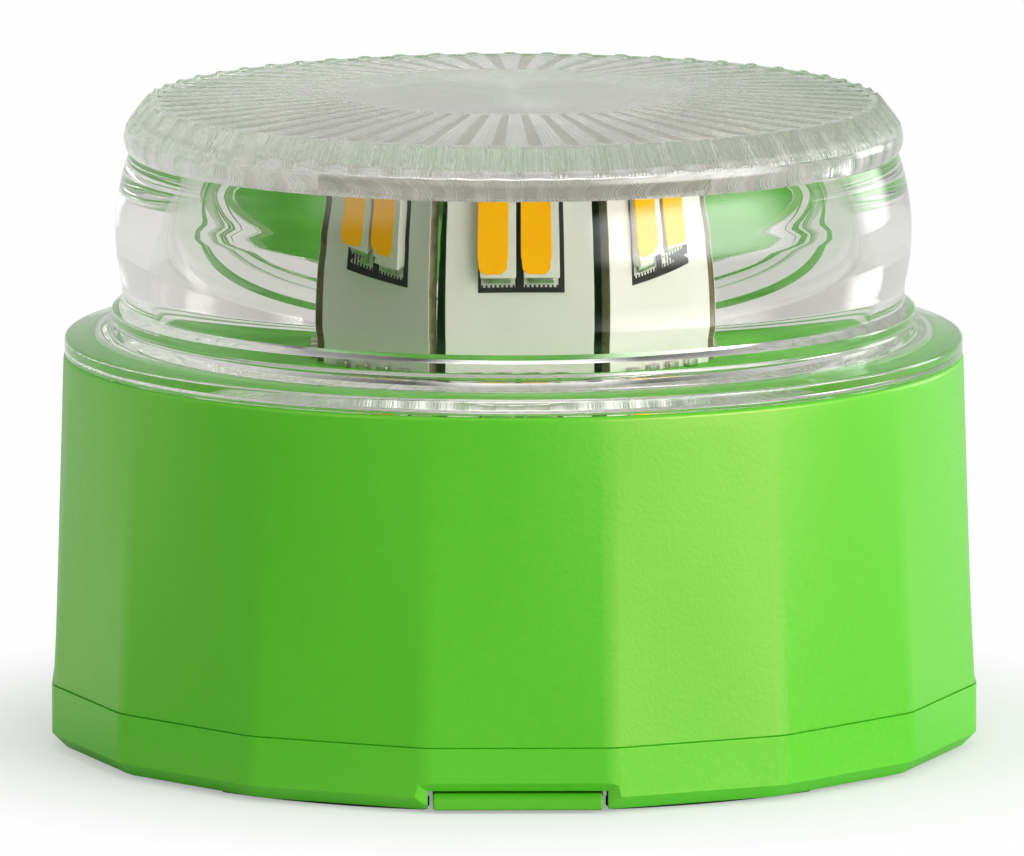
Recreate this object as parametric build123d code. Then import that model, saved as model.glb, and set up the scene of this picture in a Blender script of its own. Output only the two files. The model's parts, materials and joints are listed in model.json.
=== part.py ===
from build123d import *
from math import atan, cos, degrees, pi, radians, sin, tan
import os

# LED hazard beacon in millimetres: +Z up, origin at the middle of the face it stands on, front towards -Y.
# Names ending in _Z are heights above that face, and the other lengths are sizes or distances.

# ---------------------------------------------------------------- fits
SLIP = 0.1  # round fixed pieces that drop into each other
SWING = 0.3  # round pieces that move
RUNNING = 0.05  # radial play of the door's trunnions
TOUCH = 0.1  # left open where a seal or a stop almost touches

# ---------------------------------------------------------------- casing
FACETS = 16
FACET_BLEND_R = 4.0
COVER_CORNER_R = 40.5
COVER_PROUD = 0.15
COVER_H = 5.3
COVER_BEVEL = 1.15
CASE_H = 33.2
CASE_TAPER = 1.75
CASE_TOP_ROUND = 0.4
CASE_WALL = 2.2
CASE_TOP_WALL = 2.15
FLOOR_T = 2.4
LIP_T = 1.2
LIP_H = 2.0
FOOT_PROUD = 0.3
FOOT_T = 0.8
FOOT_SET = 0.3
FOOT_W = 2.2
FOOT_START = 12.0
FOOT_SWEEP = 29.0
BASE_SEAL_SET = 0.4
BASE_SEAL_W = 1.0
BASE_SEAL_H = 0.8

# ---------------------------------------------------------------- boards and LED tower
CASE_RIM_W = 3.95
BOARD_T = 1.6
BOARD_SUNK = 0.1
SHELF_W = 1.8
SHELF_T = 1.6
TOWER_SIDES = 8
TOWER_TURN = 1.2
TOWER_APOTHEM = 16.9
LED_BOARD_W = 12.4
LED_BOARD_T = 1.0
TOP_BOARD_T = 1.0
TOP_BOARD_INSET = 0.4
CEILING_GAP = 2.5
LED_W = 3.0
LED_L = 4.6
LED_T = 0.9
LED_PITCH = 3.65
LED_MIDDLE_H = 10.9
WINDOW_W = 2.6
WINDOW_L = 4.25
WINDOW_T = 0.25
WINDOW_CUT = 0.6

# ---------------------------------------------------------------- lens, heights above its flange's underside
FLANGE_SET = 0.1
FLANGE_SIDE_H = 1.2
FLANGE_ROUND = 0.4
CONE_W = 4.05
CONE_TOP_H = 2.7
STEP_TOP_H = 4.0
WAIST_SET = 0.94
WAIST_LOW_H = 4.5
WAIST_HIGH_H = 6.0
BELLY = 0.57
BELLY_H = 10.9
SHOULDER_LOW = 0.47
SHOULDER_LOW_H = 12.6
SHOULDER_HIGH = 0.27
SHOULDER_HIGH_H = 13.9
SHOULDER_BOW = 0.1
NECK_SET = 0.64
NECK_H = 17.35
RIM_PROUD = 0.44
RIM_H = 18.95
RIM_UNDER = 0.12
BEVEL_LOW_H = 19.35
BEVEL_W = 1.9
BEVEL_TOP_H = 21.8
DISC_R = 15.0
LENS_H = 22.5
LENS_WALL = 1.6
LENS_DRAFT = 0.6
LENS_CAVITY_ROUND = 1.3
LENS_SHELL = 1.8
LENS_LIP_H = 0.55
LENS_FOOT_SLOPE_H = 0.3
LENS_SEAT_W = 2.9
LENS_TOP_T = 3.4
FLUTES = 60
FLUTE_SHARE = 0.45
FLUTE_DEPTH = 0.3
FLUTE_END = 0.6
LENS_SEAL_SET = 0.7
LENS_SEAL_W = 1.0
LENS_SEAL_H = 0.6

# ---------------------------------------------------------------- cells and tray
CELLS = 3
CELL_D = 10.5
CELL_L = 44.5
CELL_NUB_D = 3.8
CELL_NUB_L = 1.2
CELL_GAP = 0.4
CELL_UNDER = 3.0
CONTACT_ROOM = 2.75
CONTACT_T = 0.4
CONTACT_W = 7.0
CONTACT_L = 8.0
DIMPLE_R = 2.0
BAY_MARGIN = 0.3
TRAY_WALL = 1.5
TRAY_EAR_REACH = 3.7
TRAY_EAR_W = 5.0
TRAY_EAR_T = 1.5
TRAY_POST_R = 2.2
COAMING_H = 4.4
COAMING_T = 1.8

# ---------------------------------------------------------------- battery door and its hinge
HINGE_Y = 17.0
BARREL_R = 1.5
TRUNNION_R = 0.8
TRUNNION_L = 1.4
DOOR_T = 1.8
DOOR_LEDGE = 1.6
DOOR_RIB_T = 1.2
DOOR_RIB_H = 1.4
DOOR_SEAL_W = 1.0
DOOR_SEAL_T = 0.7
TAB_W = 14.25
TAB_T = 1.4
TAB_BEVEL = 0.5
TAB_BACK = 0.4
NOTCH_W = 15.1
NOTCH_H = 1.6
NOTCH_FRAME_LOW_W = 20.6
NOTCH_FRAME_TOP_W = 17.4
NOTCH_FRAME_H = 2.4

# ---------------------------------------------------------------- power button and switch
BUTTON_Y = 26.0
BUTTON_R = 3.9
BUTTON_SUNK = 0.8
BUTTON_TRAVEL = 0.8
BUTTON_FLANGE_R = 4.8
BUTTON_FLANGE_T = 0.8
STEM_R = 1.5
STEM_TOP_H = 4.1
SWITCH_SIZE = 6.0
SWITCH_T = 3.5
PLUNGER_R = 1.7
PLUNGER_H = 0.5
SWITCH_BOARD_W = 17.0
SWITCH_BOARD_D = 9.0
SWITCH_BOARD_T = 1.2
SWITCH_POST_X = 6.8
SWITCH_POST_R = 1.6

# ---------------------------------------------------------------- screws and magnets
SCREW_SET = 4.8
SCREW_ANGLE = 51.2
SCREW_BOSS_R = 2.7
SCREW_BOSS_H = 9.0
SCREW_WEB_T = 1.6
SCREW_SHANK_R = 1.2
SCREW_HEAD_R = 2.4
SCREW_HEAD_T = 1.6
SCREW_L = 12.0
SMALL_SHANK_R = 0.8
SMALL_HEAD_R = 1.6
SMALL_HEAD_T = 1.1
SMALL_SCREW_L = 4.2
DRIVE_R = 0.9
DRIVE_DEPTH = 0.7
MAGNET_R = 4.0
MAGNET_T = 3.0
MAGNET_FRONT_SET = 5.45
MAGNET_REAR_SET = 7.35
MAGNET_ANGLE = 24.5

# ---------------------------------------------------------------- components and leads
CHIP_SIZE = 7.0
CHIP_T = 1.2
CHIP_Y = 14.0
COIL_R = 3.4
COIL_T = 3.2
COIL_X = 13.0
CAPACITOR_R = 3.15
CAPACITOR_L = 7.5
CAPACITOR_X = -13.0
CAPACITOR_PITCH = 8.5
RESISTORS = 4
RESISTOR_L = 3.2
RESISTOR_W = 1.6
RESISTOR_T = 0.6
RESISTOR_PITCH = 3.6
RESISTOR_Y = -14.0
LEAD_R = 0.7
LEAD_RISE = 6.5
LEAD_END_RUN = 4.5
LEAD_X_SHIFT = -7.0
LEAD_Y_SHIFT = 3.0
LEAD_BEND_SHARE = 0.45

# ---------------------------------------------------------------- heights and places worked out from them
COVER_Z = FOOT_PROUD
FLOOR_Z = COVER_Z + FLOOR_T
JOINT_Z = COVER_Z + COVER_H
CASE_Z = COVER_Z + CASE_H
BOARD_TOP_Z = CASE_Z - BOARD_SUNK
BOARD_Z = BOARD_TOP_Z - BOARD_T
CEILING_Z = CASE_Z + LENS_H - LENS_TOP_T
TOP_BOARD_Z = CEILING_Z - CEILING_GAP - TOP_BOARD_T
LED_Z = BOARD_TOP_Z + LED_MIDDLE_H
HALF_FACET = pi / FACETS
HOUSING_CORNER_R = COVER_CORNER_R - COVER_PROUD
COVER_APOTHEM = COVER_CORNER_R * cos(HALF_FACET)
CASE_TOP_R = COVER_CORNER_R - CASE_TAPER
CASE_BORE_R = COVER_APOTHEM - CASE_WALL
CASE_BORE_TOP_R = CASE_TOP_R - CASE_TOP_WALL
MAIN_BOARD_R = CASE_TOP_R - CASE_RIM_W
SHELF_IN_R = MAIN_BOARD_R - SHELF_W
FOOT_OUT_R = CASE_BORE_R + FOOT_SET
BASE_SEAL_IN_R = CASE_BORE_R + BASE_SEAL_SET
LENS_SEAL_IN_R = MAIN_BOARD_R + SLIP + LENS_SEAL_SET

FLANGE_R = CASE_TOP_R - FLANGE_SET
CONE_TOP_R = FLANGE_R - CONE_W
WAIST_R = CONE_TOP_R - WAIST_SET
BELLY_R = WAIST_R + BELLY
SHOULDER_LOW_R = WAIST_R + SHOULDER_LOW
SHOULDER_HIGH_R = WAIST_R + SHOULDER_HIGH
NECK_R = WAIST_R - NECK_SET
RIM_R = NECK_R + RIM_PROUD
BEVEL_LOW_R = RIM_R - RIM_UNDER
BEVEL_TOP_R = BEVEL_LOW_R - BEVEL_W
LENS_CAVITY_R = NECK_R - LENS_WALL

HINGE_Z = COVER_Z + BARREL_R
LEDGE_Z = COVER_Z + DOOR_T + DOOR_SEAL_T + TOUCH
COAMING_Z = COVER_Z + COAMING_H
BAY_X = CELL_L / 2 + CONTACT_ROOM
BAY_D = CELLS * CELL_D + (CELLS - 1) * CELL_GAP + 2 * BAY_MARGIN
BAY_REAR_Y = HINGE_Y - BARREL_R - SWING - DOOR_LEDGE
BAY_FRONT_Y = BAY_REAR_Y - BAY_D
BAY_Y = (BAY_REAR_Y + BAY_FRONT_Y) / 2
DOOR_X = BAY_X + DOOR_LEDGE
DOOR_FRONT_Y = BAY_FRONT_Y - DOOR_LEDGE
RECESS_REAR_Y = HINGE_Y + BARREL_R + SWING
CELL_Z = COVER_Z + CELL_UNDER + CELL_D / 2
TRAY_ROOF_Z = CELL_Z + CELL_D / 2 + BAY_MARGIN
TRAY_TOP_Z = TRAY_ROOF_Z + TRAY_WALL
TAB_FRONT_Y = -(COVER_APOTHEM - TAB_BACK)
STEM_TOP_Z = COVER_Z + STEM_TOP_H
SWITCH_Z = STEM_TOP_Z + BUTTON_TRAVEL + TOUCH + PLUNGER_H
SWITCH_BOARD_Z = SWITCH_Z + SWITCH_T
CELL_ENDS = [1 if n % 2 == 0 else -1 for n in range(CELLS)]
CELL_YS = [BAY_Y + (n - (CELLS - 1) / 2) * (CELL_D + CELL_GAP) for n in range(CELLS)]
TRAY_EAR_X = BAY_X + TRAY_WALL + TRAY_EAR_REACH
SCREW_X = (CASE_BORE_R - SCREW_SET) * cos(radians(SCREW_ANGLE))
SCREW_Y = (CASE_BORE_R - SCREW_SET) * sin(radians(SCREW_ANGLE))
SCREW_PLACES = [(x, y) for x in (-SCREW_X, SCREW_X) for y in (-SCREW_Y, SCREW_Y)]
TOWER_ANGLES = [TOWER_TURN + 360 / TOWER_SIDES * n for n in range(TOWER_SIDES)]
BEYOND = 5.0  # how far cutting tools run past what they cut


# ---------------------------------------------------------------- building blocks
def slab(x0, x1, y0, y1, z0, z1):
    """A box between two corners."""
    block = Box(x1 - x0, y1 - y0, z1 - z0, align=(Align.MIN, Align.MIN, Align.MIN))
    return Pos(x0, y0, z0) * block


def disc(radius, z0, z1, x=0.0, y=0.0):
    """An upright cylinder between two heights."""
    return Pos(x, y, z0) * Cylinder(radius, z1 - z0, align=(Align.CENTER, Align.CENTER, Align.MIN))


def ring(r_in, r_out, z0, z1):
    """A flat ring round the Z axis."""
    return disc(r_out, z0, z1) - disc(r_in, z0 - BEYOND, z1 + BEYOND)


def rod(radius, x0, x1, y, z):
    """A round bar along X."""
    bar = Cylinder(radius, x1 - x0, align=(Align.CENTER, Align.CENTER, Align.MIN))
    return Pos(x0, y, z) * Rot(0, 90, 0) * bar


def turned(*points):
    """A solid of revolution from (radius, height) points."""
    return revolve(make_face(Polyline(*[(r, 0, z) for r, z in points], close=True)), Axis.Z)


def polar(radius, angle, z):
    """A point at an angle in radians, counted from the front (-Y) towards +X."""
    return Vector(radius * sin(angle), -radius * cos(angle), z)


def facet_angles():
    """Half the angle that the straight part of one facet covers at the base cover."""
    flat_half = (COVER_CORNER_R * sin(HALF_FACET)) - FACET_BLEND_R * tan(HALF_FACET)
    return atan(flat_half / COVER_APOTHEM)


def facet_ring(corner_r, z):
    """The casing's outline: flats joined by short arcs."""
    apothem = corner_r * cos(HALF_FACET)
    flat = facet_angles()
    flat_r = apothem / cos(flat)
    blend_r = corner_r - FACET_BLEND_R * (1 / cos(HALF_FACET) - 1)
    edges = []
    for n in range(FACETS):
        middle = 2 * HALF_FACET * n
        start = polar(flat_r, middle - flat, z)
        end = polar(flat_r, middle + flat, z)
        corner = polar(blend_r, middle + HALF_FACET, z)
        after = polar(flat_r, middle + 2 * HALF_FACET - flat, z)
        edges += [Line(start, end).edge(), ThreePointArc(end, corner, after).edge()]
    return Wire(edges)


def round_ring(radius, z):
    """A circle cut into the same stretches as the faceted outline."""
    flat = facet_angles()
    edges = []
    for n in range(FACETS):
        middle = 2 * HALF_FACET * n
        stretches = ((middle - flat, middle + flat), (middle + flat, middle + 2 * HALF_FACET - flat))
        for low, high in stretches:
            points = [polar(radius, a, z) for a in (low, (low + high) / 2, high)]
            edges.append(ThreePointArc(*points).edge())
    return Wire(edges)


def between(lower, upper):
    """The straight-sided solid between two outlines."""
    return Part() + Solid.make_loft([lower, upper], ruled=True)


def around_tower(piece, angle):
    """Turns a piece made at the front of the tower to its own side."""
    return Rot(0, 0, angle) * piece


def screw(x, y, z, point_z, head_r, head_t, shank_r):
    """A pan-head screw whose head's underside is at z, pointing to point_z, with a round drive recess."""
    way = 1 if point_z > z else -1
    head_end = z - way * head_t
    head = disc(head_r, min(z, head_end), max(z, head_end), x, y)
    shank = disc(shank_r, min(z, point_z), max(z, point_z), x, y)
    recess_z = head_end + way * DRIVE_DEPTH
    recess = disc(DRIVE_R, min(head_end, recess_z), max(head_end, recess_z), x, y)
    return head + shank - recess


# ---------------------------------------------------------------- casing
def housing():
    rounded_z = CASE_Z - CASE_TOP_ROUND
    shell = between(facet_ring(HOUSING_CORNER_R, JOINT_Z), round_ring(CASE_TOP_R, rounded_z))
    edge_r = CASE_TOP_R - CASE_TOP_ROUND
    middle_r = edge_r + CASE_TOP_ROUND * sin(pi / 4)
    middle_z = rounded_z + CASE_TOP_ROUND * sin(pi / 4)
    crown = make_face([
        Line((0, 0, rounded_z), (CASE_TOP_R, 0, rounded_z)),
        ThreePointArc((CASE_TOP_R, 0, rounded_z), (middle_r, 0, middle_z), (edge_r, 0, CASE_Z)),
        Line((edge_r, 0, CASE_Z), (0, 0, CASE_Z)),
        Line((0, 0, CASE_Z), (0, 0, rounded_z)),
    ])
    shell += revolve(crown, Axis.Z)
    shelf_z = BOARD_Z - SHELF_T
    shell -= turned(
        (0, JOINT_Z - BEYOND), (CASE_BORE_R, JOINT_Z - BEYOND), (CASE_BORE_R, JOINT_Z),
        (CASE_BORE_TOP_R, shelf_z), (SHELF_IN_R, shelf_z), (SHELF_IN_R, BOARD_Z),
        (MAIN_BOARD_R + SLIP, BOARD_Z), (MAIN_BOARD_R + SLIP, CASE_Z + BEYOND), (0, CASE_Z + BEYOND),
    )
    shell -= ring(LENS_SEAL_IN_R, LENS_SEAL_IN_R + LENS_SEAL_W, CASE_Z - LENS_SEAL_H, CASE_Z + BEYOND)
    bore = disc(CASE_BORE_R, JOINT_Z, JOINT_Z + SCREW_BOSS_H)
    web_z = JOINT_Z + LIP_H + SWING
    for x, y in SCREW_PLACES:
        web = slab(0, CASE_BORE_R, -SCREW_WEB_T / 2, SCREW_WEB_T / 2, web_z, JOINT_Z + SCREW_BOSS_H)
        web = Pos(x, y, 0) * Rot(0, 0, degrees(atan(y / x)) + (180 if x < 0 else 0)) * web
        shell += web & bore
        shell += disc(SCREW_BOSS_R, JOINT_Z, JOINT_Z + SCREW_BOSS_H, x, y)
        shell -= disc(SCREW_SHANK_R + RUNNING, JOINT_Z - BEYOND, screw_point_z() + SWING, x, y)
    return shell


def screw_point_z():
    return COVER_Z + SCREW_HEAD_T + SWING + SCREW_L


def cover_shell():
    """The base cover's outside with its lower bevel, its hollow, its locating lip and the seal's groove."""
    bevel_z = COVER_Z + COVER_BEVEL
    inner = facet_ring(COVER_CORNER_R - COVER_BEVEL, COVER_Z)
    outline = facet_ring(COVER_CORNER_R, bevel_z)
    shell = between(inner, outline) + between(outline, facet_ring(COVER_CORNER_R, JOINT_Z))
    shell -= disc(CASE_BORE_R, FLOOR_Z, JOINT_Z + BEYOND)
    lip_out = CASE_BORE_R - SLIP
    shell += ring(lip_out - LIP_T, lip_out, FLOOR_Z, JOINT_Z + LIP_H)
    shell += ring(lip_out - LIP_T, CASE_BORE_R, FLOOR_Z, JOINT_Z - TOUCH)
    shell -= ring(BASE_SEAL_IN_R, BASE_SEAL_IN_R + BASE_SEAL_W, JOINT_Z - BASE_SEAL_H, JOINT_Z + BEYOND)
    return shell


def notch_cut():
    """The finger notch at the front edge and the bevelled frame round it."""
    low = COVER_Z - BEYOND
    notch = slab(-NOTCH_W / 2, NOTCH_W / 2, -COVER_CORNER_R - BEYOND, DOOR_FRONT_Y, low, COVER_Z + NOTCH_H)
    rise = NOTCH_FRAME_H - NOTCH_H
    outer = [
        (-NOTCH_FRAME_LOW_W / 2, COVER_Z), (-NOTCH_FRAME_TOP_W / 2, COVER_Z + NOTCH_FRAME_H),
        (NOTCH_FRAME_TOP_W / 2, COVER_Z + NOTCH_FRAME_H), (NOTCH_FRAME_LOW_W / 2, COVER_Z),
    ]
    inner = [
        (-NOTCH_W / 2, COVER_Z), (-NOTCH_W / 2, COVER_Z + NOTCH_H),
        (NOTCH_W / 2, COVER_Z + NOTCH_H), (NOTCH_W / 2, COVER_Z),
    ]
    faces = [(outer, -COVER_APOTHEM), (inner, -COVER_APOTHEM + rise)]
    wires = [Wire.make_polygon([Vector(x, y, z) for x, z in points]) for points, y in faces]
    return notch + between(*wires)


def base_cover():
    cover = cover_shell()
    cheek_x = DOOR_X + SWING
    front = DOOR_FRONT_Y - SWING
    cover += slab(-cheek_x - COAMING_T, cheek_x + COAMING_T, front - COAMING_T, RECESS_REAR_Y + COAMING_T,
                  COVER_Z, COAMING_Z)
    cover -= slab(-cheek_x, cheek_x, front, RECESS_REAR_Y, COVER_Z - BEYOND, LEDGE_Z)
    pocket_front = HINGE_Y - BARREL_R - SWING
    cover -= slab(-cheek_x, cheek_x, pocket_front, RECESS_REAR_Y, COVER_Z, HINGE_Z + BARREL_R + SWING)
    cover -= slab(-BAY_X, BAY_X, BAY_FRONT_Y, BAY_REAR_Y, COVER_Z, COAMING_Z + BEYOND)
    trunnion_x = cheek_x + TRUNNION_L
    cover -= rod(TRUNNION_R + RUNNING, -trunnion_x, trunnion_x, HINGE_Y, HINGE_Z)
    cover -= notch_cut()
    cover -= foot_pads(SLIP)
    for x, y in SCREW_PLACES:
        cover += disc(SCREW_BOSS_R, FLOOR_Z, JOINT_Z - TOUCH, x, y)
        cover -= disc(SCREW_HEAD_R + SWING, COVER_Z - BEYOND, COVER_Z + SCREW_HEAD_T + SWING, x, y)
        cover -= disc(SCREW_SHANK_R + SWING, COVER_Z, JOINT_Z + BEYOND, x, y)
    for x in (-TRAY_EAR_X, TRAY_EAR_X):
        cover += disc(TRAY_POST_R, FLOOR_Z, COAMING_Z, x, BAY_Y)
        cover -= disc(SMALL_SHANK_R + RUNNING, tray_screw_point_z() - TOUCH, COAMING_Z + BEYOND, x, BAY_Y)
    cover -= disc(BUTTON_R + SWING, COVER_Z - BEYOND, FLOOR_Z + BEYOND, 0, BUTTON_Y)
    hole_z = switch_screw_point_z() - TOUCH
    for x in (-SWITCH_POST_X, SWITCH_POST_X):
        cover += disc(SWITCH_POST_R, FLOOR_Z, SWITCH_BOARD_Z, x, BUTTON_Y)
        cover -= disc(SMALL_SHANK_R + RUNNING, hole_z, SWITCH_BOARD_Z + BEYOND, x, BUTTON_Y)
    return cover


def foot_pads(play=0.0):
    """Four soft arcs under the base cover, which the beacon stands on."""
    r_in = FOOT_OUT_R - FOOT_W - play
    band = ring(r_in, FOOT_OUT_R + play, COVER_Z - FOOT_PROUD, COVER_Z - FOOT_PROUD + FOOT_T)
    reach = 2 * FOOT_OUT_R
    spread = reach * tan(radians(FOOT_SWEEP / 2))
    pads = Part()
    for side in (0, 180):
        for way in (-1, 1):
            middle = side - 90 + way * (FOOT_START + FOOT_SWEEP / 2)
            wedge = Polyline((0, 0), (reach, -spread), (reach, spread), close=True)
            sector = extrude(make_face(wedge), FOOT_T)
            pads += band & (Pos(0, 0, COVER_Z - FOOT_PROUD) * Rot(0, 0, middle) * sector)
    return pads


def base_seal():
    return ring(BASE_SEAL_IN_R, BASE_SEAL_IN_R + BASE_SEAL_W, JOINT_Z - BASE_SEAL_H, JOINT_Z)


def base_screws():
    head_z = COVER_Z + SCREW_HEAD_T + SWING
    group = Part()
    for x, y in SCREW_PLACES:
        group += screw(x, y, head_z, screw_point_z(), SCREW_HEAD_R, SCREW_HEAD_T, SCREW_SHANK_R)
    return group


# ---------------------------------------------------------------- lens
def lens_outline():
    """Half the lens's section, with round stretches as arcs."""
    base = CASE_Z
    ceiling_z = CEILING_Z
    side_z = base + FLANGE_SIDE_H
    middle = FLANGE_ROUND * (1 - sin(pi / 4))
    cavity_shift = LENS_CAVITY_ROUND * (1 - sin(pi / 4))
    upper = ((SHOULDER_HIGH_R + NECK_R) / 2 + SHOULDER_BOW, (SHOULDER_HIGH_H + NECK_H) / 2)
    foot_r = CONE_TOP_R - LENS_SHELL
    foot_top = STEP_TOP_H - LENS_SHELL

    def at(radius, height):
        return (radius, 0, base + height)

    return [
        Line(at(FLANGE_R - LENS_SEAT_W, 0), at(FLANGE_R, 0)),
        Line(at(FLANGE_R, 0), at(FLANGE_R, FLANGE_SIDE_H)),
        ThreePointArc(at(FLANGE_R, FLANGE_SIDE_H), (FLANGE_R - middle, 0, side_z + FLANGE_ROUND - middle),
                      at(FLANGE_R - FLANGE_ROUND, FLANGE_SIDE_H + FLANGE_ROUND)),
        Line(at(FLANGE_R - FLANGE_ROUND, FLANGE_SIDE_H + FLANGE_ROUND), at(CONE_TOP_R, CONE_TOP_H)),
        Line(at(CONE_TOP_R, CONE_TOP_H), at(CONE_TOP_R, STEP_TOP_H)),
        Line(at(CONE_TOP_R, STEP_TOP_H), at(WAIST_R, WAIST_LOW_H)),
        Line(at(WAIST_R, WAIST_LOW_H), at(WAIST_R, WAIST_HIGH_H)),
        ThreePointArc(at(WAIST_R, WAIST_HIGH_H), at(BELLY_R, BELLY_H), at(SHOULDER_LOW_R, SHOULDER_LOW_H)),
        Line(at(SHOULDER_LOW_R, SHOULDER_LOW_H), at(SHOULDER_HIGH_R, SHOULDER_HIGH_H)),
        ThreePointArc(at(SHOULDER_HIGH_R, SHOULDER_HIGH_H), at(*upper), at(NECK_R, NECK_H)),
        ThreePointArc(at(NECK_R, NECK_H), at(RIM_R, RIM_H), at(BEVEL_LOW_R, BEVEL_LOW_H)),
        Line(at(BEVEL_LOW_R, BEVEL_LOW_H), at(BEVEL_TOP_R, BEVEL_TOP_H)),
        Line(at(BEVEL_TOP_R, BEVEL_TOP_H), at(DISC_R, LENS_H)),
        Line(at(DISC_R, LENS_H), at(0, LENS_H)),
        Line(at(0, LENS_H), (0, 0, ceiling_z)),
        Line((0, 0, ceiling_z), (LENS_CAVITY_R - LENS_CAVITY_ROUND, 0, ceiling_z)),
        ThreePointArc((LENS_CAVITY_R - LENS_CAVITY_ROUND, 0, ceiling_z),
                      (LENS_CAVITY_R - cavity_shift, 0, ceiling_z - cavity_shift),
                      (LENS_CAVITY_R, 0, ceiling_z - LENS_CAVITY_ROUND)),
        Line((LENS_CAVITY_R, 0, ceiling_z - LENS_CAVITY_ROUND),
             at(LENS_CAVITY_R - LENS_DRAFT, foot_top + LENS_FOOT_SLOPE_H)),
        Line(at(LENS_CAVITY_R - LENS_DRAFT, foot_top + LENS_FOOT_SLOPE_H), at(foot_r, foot_top)),
        Line(at(foot_r, foot_top), at(foot_r, LENS_LIP_H)),
        Line(at(foot_r, LENS_LIP_H), at(FLANGE_R - LENS_SEAT_W, 0)),
    ]


def flute():
    """One wedge-shaped radial groove, laid along the slope of the lens's top."""
    start = DISC_R + FLUTE_END
    end = BEVEL_TOP_R - FLUTE_END
    half_share = FLUTE_SHARE * pi / FLUTES
    corners = [(r, side * r * half_share) for r, side in ((start, -1), (end, -1), (end, 1), (start, 1))]
    wedge = make_face(Polyline(*corners, close=True))
    slope = degrees(atan((LENS_H - BEVEL_TOP_H) / (BEVEL_TOP_R - DISC_R)))
    block = extrude(wedge, 2 * FLUTE_DEPTH)
    return Pos(DISC_R, 0, CASE_Z + LENS_H) * Rot(0, slope, 0) * Pos(-DISC_R, 0, -FLUTE_DEPTH) * block


def lens():
    body = revolve(make_face(lens_outline()), Axis.Z)
    groove = flute()
    return body - [Rot(0, 0, 360 / FLUTES * n) * groove for n in range(FLUTES)]


def lens_seal():
    return ring(LENS_SEAL_IN_R, LENS_SEAL_IN_R + LENS_SEAL_W, CASE_Z - LENS_SEAL_H, CASE_Z)


# ---------------------------------------------------------------- boards and LED tower
def main_board():
    return disc(MAIN_BOARD_R, BOARD_Z, BOARD_TOP_Z)


def top_board():
    plate = RegularPolygon(TOWER_APOTHEM - TOP_BOARD_INSET, TOWER_SIDES, major_radius=False)
    return Pos(0, 0, TOP_BOARD_Z) * Rot(0, 0, TOWER_TURN + 180 / TOWER_SIDES) * extrude(plate, TOP_BOARD_T)


def led_board():
    half = LED_BOARD_W / 2
    return slab(-half, half, -TOWER_APOTHEM, -TOWER_APOTHEM + LED_BOARD_T, BOARD_TOP_Z, TOP_BOARD_Z)


def led_window():
    """The two phosphor windows of one board, with their lower corners cut off."""
    half_w = WINDOW_W / 2
    half_l = WINDOW_L / 2
    y = -TOWER_APOTHEM - LED_T
    windows = Part()
    for x in (-LED_PITCH / 2, LED_PITCH / 2):
        low_w = half_w - WINDOW_CUT
        points = (
            (x - half_w, half_l), (x + half_w, half_l), (x + half_w, WINDOW_CUT - half_l),
            (x + low_w, -half_l), (x - low_w, -half_l), (x - half_w, WINDOW_CUT - half_l),
        )
        face = make_face(Polyline(*[(px, y, LED_Z + pz) for px, pz in points], close=True))
        windows += extrude(face, amount=WINDOW_T, dir=(0, 1, 0))
    return windows


def led_pair():
    half_w = LED_W / 2
    front_y = -TOWER_APOTHEM - LED_T
    pair = Part()
    for x in (-LED_PITCH / 2, LED_PITCH / 2):
        pair += slab(x - half_w, x + half_w, front_y, -TOWER_APOTHEM, LED_Z - LED_L / 2, LED_Z + LED_L / 2)
    return pair - led_window()


# ---------------------------------------------------------------- cells and tray
def battery_tray():
    outer_x = BAY_X + TRAY_WALL
    front = BAY_FRONT_Y - TRAY_WALL
    rear = BAY_REAR_Y + TRAY_WALL
    tray = slab(-outer_x, outer_x, front, rear, COAMING_Z, TRAY_TOP_Z)
    tray -= slab(-BAY_X, BAY_X, BAY_FRONT_Y, BAY_REAR_Y, COAMING_Z - BEYOND, TRAY_ROOF_Z)
    half = TRAY_EAR_W / 2
    for x in (-TRAY_EAR_X, TRAY_EAR_X):
        low_x, high_x = sorted((x / abs(x) * BAY_X, x))
        tray += slab(low_x, high_x, BAY_Y - half, BAY_Y + half, COAMING_Z, COAMING_Z + TRAY_EAR_T) - slab(
            -BAY_X, BAY_X, BAY_FRONT_Y, BAY_REAR_Y, COAMING_Z - BEYOND, TRAY_ROOF_Z)
        tray += disc(half, COAMING_Z, COAMING_Z + TRAY_EAR_T, x, BAY_Y)
        tray -= disc(SMALL_SHANK_R + SLIP, COAMING_Z - BEYOND, COAMING_Z + TRAY_EAR_T, x, BAY_Y)
        tray -= disc(SMALL_HEAD_R + SLIP, COAMING_Z + TRAY_EAR_T, COAMING_Z + 2 * TRAY_EAR_T, x, BAY_Y)
    for lead_x, lead_y in (lead_start(1), lead_start(-1)):
        tray -= disc(LEAD_R + SWING, TRAY_ROOF_Z - CONTACT_T, TRAY_TOP_Z + BEYOND, lead_x, lead_y)
    return tray


def tray_screw_point_z():
    return COAMING_Z + TRAY_EAR_T - SMALL_SCREW_L


def tray_screws():
    group = Part()
    for x in (-TRAY_EAR_X, TRAY_EAR_X):
        group += screw(x, BAY_Y, COAMING_Z + TRAY_EAR_T, tray_screw_point_z(), SMALL_HEAD_R, SMALL_HEAD_T,
                       SMALL_SHANK_R)
    return group


def battery_cell(n):
    """A cell along X whose plus end points to the side given in CELL_ENDS."""
    shoulder = CELL_L / 2 - CELL_NUB_L
    body = rod(CELL_D / 2, -CELL_L / 2, shoulder, 0, 0)
    body += rod(CELL_NUB_D / 2, shoulder, CELL_L / 2, 0, 0)
    return Pos(0, CELL_YS[n], CELL_Z) * Rot(0, 0, 0 if CELL_ENDS[n] > 0 else 180) * body


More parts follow.
